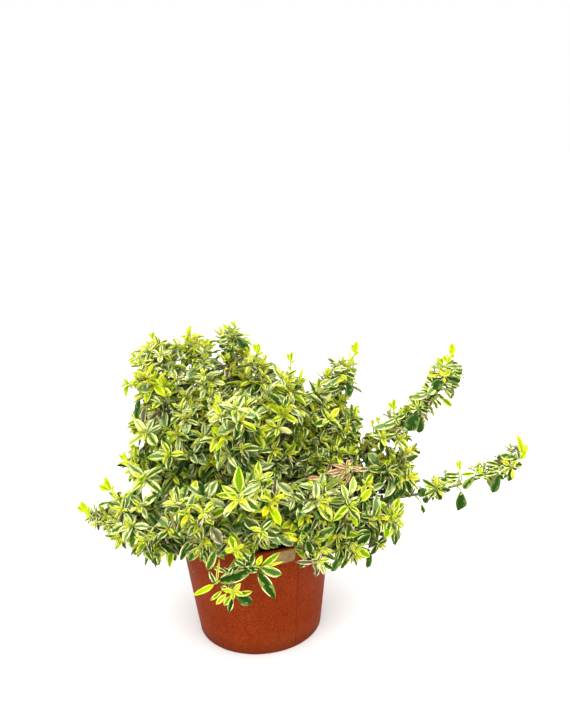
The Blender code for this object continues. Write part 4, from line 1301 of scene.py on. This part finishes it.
armLeaves = {
    # Leaves read off the photograph on an arm, from back to front: x and z of the root and of the tip,
    # width, tint
    "arm_high": (
        (217, 295, 217, 308, 9, "lime"), (212, 288, 208, 296, 6, "lime"), (213, 288, 216, 295, 5, "fresh"),
        (212, 283, 230, 282, 6, "grey"), (212, 282, 206, 284, 6, "grey"), (218, 275, 228, 270, 5, "green"),
        (184, 239, 193, 238, 6, "old"), (213, 279, 207, 279, 6, "soft"), (218, 281, 230, 277, 6, "old"),
        (221, 276, 229, 275, 8, "deep"), (196, 267, 190, 274, 6, "old"), (211, 266, 226, 261, 6, "old"),
        (211, 264, 224, 257, 6, "deep"), (196, 249, 202, 236, 6, "old"), (196, 247, 192, 240, 6, "rose"),
        (191, 260, 184, 264, 4, "green"), (191, 262, 188, 267, 5, "deep"), (191, 253, 178, 251, 6, "rose"),
        (183, 237, 192, 228, 6, "rose"), (185, 234, 192, 223, 6, "rose"), (157, 226, 132, 226, 9, "grey"),
        (156, 232, 142, 228, 6, "grey"), (162, 221, 169, 211, 6, "old"), (214, 277, 221, 281, 4, "old"),
        (208, 273, 191, 276, 4, "gold"), (208, 273, 196, 278, 6, "old"), (208, 272, 200, 270, 5, "deep"),
        (200, 263, 191, 255, 9, "grey"), (210, 262, 221, 252, 8, "dusk"), (209, 260, 219, 247, 11, "deep"),
        (210, 265, 218, 261, 5, "grey"), (206, 249, 218, 238, 8, "green"), (200, 248, 206, 240, 5, "old"),
        (202, 254, 209, 246, 6, "deep"), (192, 255, 170, 253, 9, "grey"), (180, 241, 171, 254, 6, "old"),
        (179, 240, 170, 246, 5, "green"), (180, 241, 182, 249, 5, "old"), (180, 240, 171, 240, 6, "old"),
        (181, 240, 191, 234, 6, "deep"), (182, 228, 182, 211, 11, "plain"), (167, 235, 156, 232, 6, "old"),
        (162, 219, 156, 214, 6, "rose"), (211, 272, 227, 266, 9, "plain"), (208, 274, 204, 280, 4, "gold"),
        (208, 274, 215, 279, 6, "fresh"), (208, 270, 196, 261, 12, "plain"),
        (210, 258, 216, 248, 5, "grey"), (189, 257, 179, 257, 5, "grey"), (180, 242, 177, 253, 4, "green"),
        (155, 233, 159, 224, 4, "old"), (208, 272, 209, 266, 4, "gold"), (180, 236, 168, 215, 15, "plain"),
        (178, 224, 175, 214, 6, "green"),
    ),
    "arm_low": (
        (179, 142, 182, 131, 6, "deep"), (216, 169, 199, 171, 8, "old"), (185, 154, 175, 158, 11, "plain"),
        (186, 150, 181, 145, 8, "plain"), (260, 187, 246, 190, 6, "old"), (280, 193, 278, 202, 5, "old"),
        (213, 168, 203, 167, 6, "green"), (280, 192, 287, 201, 5, "fresh"), (218, 177, 204, 177, 6, "old"),
        (238, 178, 236, 185, 4, "green"), (260, 184, 247, 185, 6, "deep"), (268, 183, 261, 175, 6, "deep"),
        (259, 176, 265, 170, 6, "deep"), (284, 198, 277, 220, 8, "fresh"), (218, 173, 203, 174, 6, "old"),
        (243, 178, 244, 187, 4, "old"), (233, 175, 246, 176, 5, "old"), (194, 162, 180, 172, 6, "old"),
        (195, 161, 210, 159, 8, "deep"), (193, 160, 188, 150, 6, "old"), (220, 177, 234, 178, 6, "green"),
        (220, 158, 218, 134, 15, "plain"), (241, 178, 238, 185, 5, "lime"), (243, 176, 258, 179, 6, "old"),
        (243, 173, 247, 171, 4, "old"), (276, 196, 260, 198, 9, "old"), (270, 184, 269, 193, 6, "deep"),
        (271, 185, 276, 192, 6, "fresh"), (273, 188, 283, 187, 8, "deep"),
        (271, 183, 270, 168, 9, "plain"), (266, 178, 265, 172, 5, "old"), (282, 196, 287, 210, 6, "lime"),
        (194, 160, 200, 148, 8, "deep"), (261, 185, 250, 181, 6, "old"), (270, 187, 261, 193, 5, "gold"),
        (273, 185, 282, 185, 4, "old"), (259, 177, 253, 155, 10, "plain"),
        (194, 164, 192, 178, 6, "fresh"), (194, 164, 201, 167, 4, "green"),
        (195, 161, 202, 153, 5, "gold"), (192, 161, 182, 154, 6, "old"), (192, 162, 181, 166, 4, "green"),
        (233, 176, 222, 161, 11, "old"), (265, 188, 258, 181, 6, "old"), (270, 186, 262, 188, 5, "deep"),
        (269, 185, 263, 179, 5, "green"), (272, 185, 277, 182, 5, "deep"), (272, 183, 273, 172, 4, "gold"),
        (220, 159, 218, 154, 4, "old"),
    ),
}


def outwardFrom(place):
    return (place - growth["heart"]).normalized()


def forwardFrom(place):
    # Off the crown and to its front, which is where the sprays placed singly are seen from
    outward = outwardFrom(place)
    outward.z *= growth["frontFlat"]
    return (outward + growth["frontLean"] * growth["frontPull"]).normalized()


def shownSpots():
    # Where the sprays placed singly on the crown are, and how far each one reaches
    spots = []
    for name, entries in placed.items():
        for kind, first, last, *_ in entries if shoots[name][4] >= growth["armReach"] else ():
            if kind == "rosette":
                spots.append((first, forwardFrom(first), last))
            elif kind == "leaf":
                spots.append((first.lerp(last, 0.5), forwardFrom(first), (last - first).length / 2))
    return spots


keptOpen = shownSpots()
shootNames = list(shoots)
spaceReach = np.array([shoots[name][4] * growth["spaceShare"] for name in shootNames])


def spaceLine(name):
    # Points along the leafy part of a shoot, whose surroundings are its own space
    bare, steps = shoots[name][5], growth["spaceSteps"]
    return [onCurve(limbCurves[name], bare + (1 - bare) * step / steps) for step in range(steps + 1)]


spaceLines = np.array([spaceLine(name) for name in shootNames])


def isHome(name, point):
    # Whether the point is in this shoot's own space
    distance = np.linalg.norm(spaceLines - np.array(point), axis=2).min(axis=1) - spaceReach
    own = shootNames.index(name)
    return distance[own] - growth["spaceOverlap"] <= distance.min()


def isCovering(point):
    # Whether something at the point would stand in front of a spray placed singly
    for place, forward, size in keptOpen:
        ahead = (point - place).dot(forward)
        aside = (point - place - forward * ahead).length
        if 0 < ahead < growth["coverReach"] and aside < size * growth["coverWidth"]:
            return True
    return False


def isClear(point):
    # Off the pot's wall, out of the soil, and not in front of the paper strip
    slack = growth["potClearance"]
    first, last, keep = growth["clearLine"]
    line = last - first
    share = min(1.0, max(0.0, (point - first).dot(line) / line.length_squared))
    if (point - first - line * share).length < keep:
        return False
    out = math.hypot(point.x, point.y)
    if point.z > potLook["height"] + slack or out > potLook["rimRadius"] + slack:
        return True
    inMouth = out < potLook["rimRadius"] - potLook["bandProud"] - potLook["wall"] - slack
    return inMouth and point.z > soilLook["top"] + soilLook["hump"] + slack


def heightShare(point):
    low, high = growth["heights"]
    return min(1.0, max(0.0, (point.z - low) / (high - low)))


def between(first, last, share):
    return first + (last - first) * share


def sideWays(along):
    across = along.cross(upwards)
    if across.length < 0.05:
        across = Vector((1, 0, 0))
    across.normalize()
    return across, across.cross(along).normalized()


def leafWays(axis, around, opened, sky=0.6):
    # Direction of a leaf that leaves the axis, and the way its upper face looks
    across, up = sideWays(axis)
    outward = across * math.cos(around) + up * math.sin(around)
    along = (axis * math.cos(opened) + outward * math.sin(opened)).normalized()
    towards = axis * 0.7 + upwards * sky + outward * 0.1
    faceUp = (towards - along * along.dot(towards)).normalized()
    return along, faceUp


class Shoot:
    # One shoot's leaves and twigs
    def __init__(self, name, woodTwigs, greenTwigs):
        self.name = name
        start, leave, middle, tip = limbCurves[name]
        self.tip = tip + growth["tipShifts"].get(name, Vector())
        self.curve = start, leave, middle + upwards * growth["middleLifts"].get(name, 0), self.tip
        self.reach = shoots[name][4]
        self.isArm = self.reach < growth["armReach"]
        self.draw = random.Random(f"{growth['seed']} {name}")
        self.woodTwigs = woodTwigs
        self.greenTwigs = greenTwigs
        self.leaves = []
        self.length = curveLength(self.curve)
        self.end = 1 - growth["tipTrims"].get(name, growth["tipTrim"]) / self.length

    def keep(self, **given):
        self.leaves.append(given)

    def addLeaf(self, root, ways, length, tint, aspect, bend, blunt, margin):
        # A leaf that is kept where its middle, tip and sides are clear
        along, faceUp = ways
        across = along.cross(faceUp)
        tests = [(0.5, 0), (1.0, 0), (0.55, aspect / 2), (0.55, -aspect / 2)]
        spots = [root + along * length * v - faceUp * length * bend * v * v / 2 + across * length * u
                 for v, u in tests]
        if all(isClear(spot) for spot in spots):
            edge = min(0.55, margin / (length * aspect / 2))
            self.keep(root=root, along=along, faceUp=faceUp, length=length, tint=tint, aspect=aspect,
                      bend=bend, blunt=blunt, edge=edge)

    def pickTint(self, age, mood):
        # Age runs from 0 at a rosette's oldest pair to 1 at its youngest
        return self.draw.choice(moods[mood]["tints"][min(3, int(age * 4))].split())

    def pickMood(self, place):
        # Lower sprays are older and darker; their darker tints, and the darker tints on the arms, are also a
        # painted shade
        share = heightShare(place) * (growth["armShade"] if self.isArm else 1.0)
        chances = [between(mood["low"], mood["high"], share) for mood in moods.values()]
        return self.draw.choices(list(moods), chances)[0]

    def addSprout(self, foot, top, size, facing):
        # A new shoot: paddle-shaped leaves at its end and a smaller pair below them, which all look one way
        rising = (top - foot).normalized()
        end = top - rising * size * 0.9
        radius = growth["twigRadius"]
        self.greenTwigs.add([foot, foot.lerp(end, 0.5), end], [radius * 1.2, radius, radius * 0.9])
        aside = facing.cross(rising).normalized() * self.draw.choice((1, -1))
        sway = sproutRule["leanSway"]
        for share, degrees, length in sproutRule["leaves"]:
            opened = math.radians(degrees + self.draw.uniform(-sway, sway))
            along = rising * math.cos(opened) + aside * math.sin(opened)
            faceUp = (facing - along * along.dot(facing) + rising * 0.2).normalized()
            faceUp = (faceUp - along * along.dot(faceUp)).normalized()
            tint = self.draw.choice(sproutRule["tints"])
            length *= self.draw.uniform(*sproutRule["lengthSway"])
            self.addLeaf(foot.lerp(end, share), (along, faceUp), size * length, tint, *sproutRule["shape"])

    def addRosette(self, root, axis, size, mood, broad=1.0):
        # Crossed pairs, from wide-open old leaves up to a few small upright ones
        rule, draw, radius = rosetteRule, self.draw, growth["twigRadius"]
        pairs = draw.choice(rule["pairs"])
        margin = draw.uniform(*moods[mood]["edge"])
        start = draw.uniform(0, math.tau)
        (widest, closing), (shrink, hurry) = rule["opened"], rule["shrink"]
        for pair in range(pairs):
            age = pair / (pairs - 1)
            foot = root + axis * growth["pairStep"] * pair
            for side in range(2):
                sway = draw.uniform(-rule["turnSway"], rule["turnSway"])
                around = start + pair * math.pi / 2 + side * math.pi + sway
                sway = draw.uniform(-rule["openedSway"], rule["openedSway"])
                opened = math.radians(widest - closing * age + sway)
                length = size * (1.0 - shrink * age ** hurry) * draw.uniform(*rule["lengthSway"])
                blunt = 0.6 * (1 - age) + draw.uniform(0, 0.3)
                aspect = leafRule["aspect"] * broad * (1 - rule["narrow"] * age)
                aspect *= draw.uniform(*rule["widthSway"])
                bend = draw.uniform(*rule["bend"]) * (1 - 0.5 * age)
                self.addLeaf(foot, leafWays(axis, around, opened, 0.3), length, self.pickTint(age, mood),
                             aspect, bend, blunt, margin)
        end = root + axis * growth["pairStep"] * pairs
        self.greenTwigs.add([root - axis * 0.001, end], [radius * 0.9, radius * 0.6])

    def addOldLeaf(self, root, axis, around):
        # A broad older leaf straight from the stem
        rule = oldLeafRule
        ways = leafWays(axis, around, math.radians(self.draw.uniform(*rule["opened"])), rule["sky"])
        share = heightShare(root)
        # Old leaves low down take darker tints: partly their age, partly a painted shade
        tints = growth["oldTints"][0 if self.draw.random() > share else 1]
        tint = self.draw.choice(tints.split())
        low, high = growth["oldLeaf"]
        length = between(self.draw.uniform(*low), self.draw.uniform(*high), share)
        aspect = leafRule["aspect"] * self.draw.uniform(*rule["widthSway"])
        if isCovering(root + ways[0] * length * 0.6):
            return
        bend = self.draw.uniform(*rule["bend"])
        self.addLeaf(root, ways, length, tint, aspect, bend, rule["blunt"], rule["margin"])

    def addSideTwig(self, root, axis, around, reach, sizes=None):
        rule = twigRule
        opened = math.radians(self.draw.uniform(*growth["openDegrees"]))
        along, _ = leafWays(axis, around, opened)
        low, high = growth["rosetteSize"]
        size = between(self.draw.uniform(*low), self.draw.uniform(*high), heightShare(root))
        if self.isArm or sizes:
            size = self.draw.uniform(*(sizes or growth["armSize"]))
        low, high = growth["twigLength"]
        share = low + (high - low) * self.draw.random() ** between(*growth["crowding"], heightShare(root))
        length = max(rule["leastLength"], (reach - size * rule["leafRoom"]) * share)
        if self.isArm:
            endAxis = (along * 0.9 + upwards * 0.5).normalized()
        else:
            turnOut, rise = (between(*growth[key], heightShare(root)) for key in ("turnOut", "rise"))
            sway = Vector([self.draw.uniform(-rule["endSway"], rule["endSway"]) for _ in range(3)])
            endAxis = (along * 0.4 + outwardFrom(root) * turnOut + upwards * rise + sway).normalized()
        middle = root + along * length * rule["middle"]
        end = middle + (along * 0.4 + endAxis * 0.6).normalized() * length * rule["beyond"]
        if not isHome(self.name, end) or not isClear(end) or not isClear(middle) or isCovering(end):
            return
        points = [root, root.lerp(middle, 0.5), middle, middle.lerp(end, 0.55), end]
        radii = [growth["twigRadius"] * (1.25 - rule["thinning"] * step) for step in range(5)]
        kind = self.woodTwigs if share < rule["woodyUpTo"] else self.greenTwigs
        kind.add(points, radii)
        # Sprays close to the limb are old and dark
        mood = self.pickMood(end) if share > rule["darkUpTo"] else "dark"
        broad = growth["armBroad"] if self.isArm else 1.0
        self.addRosette(end, endAxis, size * self.draw.uniform(*rule["sizeSway"]), mood, broad)
        if endAxis.z > 0.1 and self.draw.random() < growth["sproutShare"]:
            rise = (endAxis * 0.5 + upwards * 0.8).normalized() * self.draw.uniform(*growth["sproutLength"])
            self.addSprout(end, end + rise, self.draw.uniform(*growth["sproutLeaf"]), self.lookFrom(end))
        # A pair of older leaves part of the way along a longer twig
        if length > rule["pairFrom"]:
            start = self.draw.uniform(0, math.tau)
            for side in range(2):
                self.addOldLeaf(middle, along, start + side * math.pi)

    def twigTo(self, point, kind):
        # A twig that leaves the limb a little way back and bends out to the point
        rule = twigRule
        shares = [self.end * index / rule["places"] for index in range(rule["places"] + 1)]
        near = min(shares, key=lambda share: (onCurve(self.curve, share) - point).length)
        gap = (onCurve(self.curve, near) - point).length
        foot = max(rule["earliestFoot"], near - gap * rule["footBack"] / self.length)
        root = onCurve(self.curve, foot)
        pull = root.lerp(point, 0.5) + alongCurve(self.curve, foot) * gap * rule["bendAlong"]
        route = [root.lerp(pull, s).lerp(pull.lerp(point, s), s) for s in (0, 0.25, 0.5, 0.75, 1)]
        kind.add(route, [growth["twigRadius"] * (1.2 - 0.1 * step) for step in range(5)])
        return (point - root).normalized()

    def lookFrom(self, place):
        # The way that a spray looks: off the crown, or to an arm's front or back
        if self.isArm:
            return Vector((0, -1 if place.y < self.tip.y * place.x / self.tip.x + 0.002 else 1, 0))
        return forwardFrom(place)

    def setLeaf(self, root, tip, width, tint):
        # A leaf placed singly, its face turned outwards and up
        self.twigTo(root, self.greenTwigs)
        along = (tip - root).normalized()
        face = self.lookFrom(root) + upwards * placedRule["rise"]
        face = (face - along * along.dot(face)).normalized()
        length = (tip - root).length
        self.keep(root=root, along=along, faceUp=face, length=length * 1.02, tint=tint, aspect=width / length,
                  bend=placedRule["bend"], blunt=0.9 if tint in placedRule["roundTints"] else 0.3,
                  edge=min(placedRule["widestMargin"], placedRule["margin"] / width))

    def onArm(self, x, z, share):
        # In front of the arm: more so for later leaves, and where the crown stands before the limb
        ahead = placedRule["armAhead"][self.name] + placedRule["armLead"] * share
        ahead += max(0, placedRule["crownUpTo"] - x) * placedRule["crownLead"]
        return millimetres((x, self.tip.y / self.tip.x * x - ahead, z))

    def setOnArm(self):
        rows = armLeaves.get(self.name, ())
        for index, (x, z, tipX, tipZ, width, tint) in enumerate(rows):
            share = index / len(rows)
            self.setLeaf(self.onArm(x, z, share), self.onArm(tipX, tipZ, share), width * 0.001, tint)

    def setRosette(self, place, size, mood):
        way = self.twigTo(place, self.woodTwigs)
        lean = self.tip.normalized() * 0.2 if self.isArm else growth["frontLean"] + way * 0.2
        axis = (self.lookFrom(place) * 0.6 + upwards * 0.55 + lean).normalized()
        self.addRosette(place, axis, size, mood, rosetteRule["placedBroad"])

    def setSprout(self, foot, top, size):
        self.twigTo(foot, self.greenTwigs)
        self.addSprout(foot, top, size, Vector((0, -1, 0.3)))

    def growOuter(self, free, nodeStep):
        # Short side twigs past the free part, closer together towards the end of an arm
        steps = round(self.length * (self.end - free) / (nodeStep * growth["outerCloser"]))
        for index in range(steps):
            share = between(free, self.end, (index + 0.5) / steps)
            chance = next(value for limit, value in growth["outerChance"][self.name] if share <= limit)
            root, axis = onCurve(self.curve, share), alongCurve(self.curve, share)
            for side in range(2):
                sway = self.draw.uniform(-0.1, 0.1)
                around = index * math.pi / 2 + (side + sway) * math.pi + growth["nodeTurn"]
                # Fewer in front of an arm, where its leaves are placed singly
                isAhead = leafWays(axis, around, math.pi / 2)[0].y < 0 and self.name in armLeaves
                if self.draw.random() < chance * (growth["aheadShare"] if isAhead else 1.0):
                    reach = growth["outerReach"] * self.draw.uniform(0.7, 1.0)
                    self.addSideTwig(root, axis, around, reach, growth["outerSize"].get(self.name))

    def grow(self):
        bare = max(shoots[self.name][5] - growth["backInto"], growth["earliest"])
        free = min(self.end, growth["freeTo"].get(self.name, 1.0))
        nodeStep = between(*growth["nodeStep"], heightShare(onCurve(self.curve, 0.7)))
        steps = max(4, round(self.length * (free - bare) / nodeStep))
        first = max(shoots[self.name][5] - 0.02, 0.0)
        count = max(8, round(self.length / 0.003))
        shares = [first + (self.end - first) * index / count for index in range(count + 1)]
        route = [onCurve(self.curve, share) for share in shares]
        self.woodTwigs.add(route, [limbRadius(share) for share in shares])
        for index in range(steps):
            share = bare + (free - bare) * (index + 0.45) / steps
            root, axis = onCurve(self.curve, share), alongCurve(self.curve, share)
            swell = math.sin(math.pi * min(1.0, (index + 0.8) / steps))
            reach = self.reach * (growth["swellLeast"] + growth["swellMore"] * swell)
            for side in range(2):
                sway = self.draw.uniform(-growth["nodeSway"], growth["nodeSway"])
                around = index * math.pi / 2 + side * math.pi + growth["nodeTurn"] + sway
                if self.draw.random() < growth["twigShare"]:
                    self.addSideTwig(root, axis, around, reach)
                elif not self.isArm or self.draw.random() < growth["armOldShare"]:
                    self.addOldLeaf(root, axis, around)
        self.growOuter(free, nodeStep)
        if free == self.end:
            root = onCurve(self.curve, self.end)
            axis = (alongCurve(self.curve, self.end) + outwardFrom(root) * 0.5 + upwards * 0.25).normalized()
            self.addRosette(root, axis, growth["rosetteSize"][1][1] * growth["tipSize"], "bright")
        setters = {"rosette": self.setRosette, "sprout": self.setSprout, "leaf": self.setLeaf}
        for kind, *spray in placed.get(self.name, ()):
            setters[kind](*spray)
        self.setOnArm()


leafGroups = {
    "leavesLeft": ("left_high", "left_top", "left_back_top", "left_mid"),
    "leavesLeftLow": ("left_low", "left_front", "back_left", "back_low_left"),
    "leavesTop": ("top", "centre_top", "centre_right", "crown_mid", "back_top"),
    "leavesFront": ("front_low", "front_centre", "front_left", "front_right", "rim_left", "rim_front",
                    "rim_right"),
    "leavesRight": ("right_top", "right_upper", "right_low", "right_side", "right_mid"),
    "leavesBack": ("back_right", "back_low", "back_low_right"),
    "leavesArms": ("arm_high", "arm_low"),
}
twigFinishes = {
    "twigWood": {"colour": tone(92, 72, 52), "tones": (tone(54, 40, 32), tone(122, 104, 70)),
                 "roughness": 0.8, "grain": (1500.0, 110.0), "drift": (0.36, 0.64), "relief": (0.5, 0.0005)},
    "twigGreen": {"colour": tone(158, 178, 66), "tones": (tone(126, 150, 48), tone(196, 204, 92)),
                  "roughness": 0.5, "grain": (1800.0, 90.0), "drift": (0.36, 0.64), "relief": (0.3, 0.0004)},
}


def makeFoliage():
    materials = makeLeafMaterials()
    woodTwigs, greenTwigs = Lines("woodyTwigs", 6), Lines("greenTwigs", 6)
    for group, names in leafGroups.items():
        leaves = []
        for name in names:
            shoot = Shoot(name, woodTwigs, greenTwigs)
            shoot.grow()
            leaves += shoot.leaves
        buildLeaves(group, leaves, materials, names)
    for lines, finish in zip((woodTwigs, greenTwigs), twigFinishes):
        piece = lines.build()
        smooth(piece, 60)
        dress(piece, [makeGrained(finish, twigFinishes[finish])])
        settle(piece, "leaves")
        print(lines.name, len(lines.routes), "twigs")


# Studio

studio = {
    "cameraPlace": (0.0406, -0.872, 0.574),
    "pitch": math.radians(17.1),
    "roll": math.radians(2.58),
    "focalPixels": 884,
    "pictureHeight": 718,
    "floorSize": 12.0,
    "skyLight": (1.0, 1.8),
    "suns": (("keyLight", (0.3, -0.8, 1.6), 1.5, 60), ("fillLight", (-0.3, -1.5, 0.9), 0.7, 80)),
}


def makeStudio():
    look = studio
    pitch, roll = look["pitch"], look["roll"]
    right, up = Vector((1, 0, 0)), Vector((0, math.sin(pitch), math.cos(pitch)))
    back = Vector((0, -math.cos(pitch), math.sin(pitch)))
    rolledRight = right * math.cos(roll) - up * math.sin(roll)
    rolledUp = right * math.sin(roll) + up * math.cos(roll)
    camera = bpy.data.cameras.new("studioCamera")
    camera.lens = look["focalPixels"] / look["pictureHeight"] * camera.sensor_width
    camera.clip_start = 0.05
    eye = addPiece("studioCamera", camera)
    turn = Matrix((rolledRight, rolledUp, back)).transposed().to_4x4()
    eye.matrix_world = Matrix.Translation(look["cameraPlace"]) @ turn
    bpy.context.scene.camera = eye
    bpy.context.scene.view_settings.view_transform = "Standard"
    world = bpy.data.worlds.new("studioWorld")
    bpy.context.scene.world = world
    world.use_nodes = True
    tree = world.node_tree
    way = addNode(tree, "ShaderNodeTexCoord")
    spot = addNode(tree, "ShaderNodeSeparateXYZ", {"Vector": way.outputs["Generated"]})
    sky = ramp(tree, spot.outputs["Z"], 0.0, 1.0, *look["skyLight"])
    path = addNode(tree, "ShaderNodeLightPath")
    strength = addNode(tree, "ShaderNodeMix", {"Factor": path.outputs["Is Camera Ray"], "A": sky, "B": 1.0})
    tree.links.new(strength.outputs["Result"], tree.nodes["Background"].inputs["Strength"])
    tree.nodes["Background"].inputs["Color"].default_value = (1, 1, 1, 1)
    for name, place, strength, spread in look["suns"]:
        light = bpy.data.lights.new(name, "SUN")
        light.energy = strength
        light.angle = math.radians(spread)
        lamp = addPiece(name, light)
        lamp.location = place
        lamp.rotation_euler = (-Vector(place)).to_track_quat("-Z", "Y").to_euler()
    pick(None)
    bpy.ops.mesh.primitive_plane_add(size=look["floorSize"], location=(0, 0, -0.0002))
    floor = bpy.context.object
    floor.name = "studioFloor"
    dress(floor, [newMaterial("studioFloor", (0.88, 0.88, 0.88, 1), 0.7)[0]])
    print("studio made")


makePot()
makeSoil()
makeLabel()
barkMaterial = makeGrained("shrubBark", barkLook["finish"])
makeStem(barkMaterial)
makeBoughs(barkMaterial)
makeFoliage()
makeStudio()
pick(None)
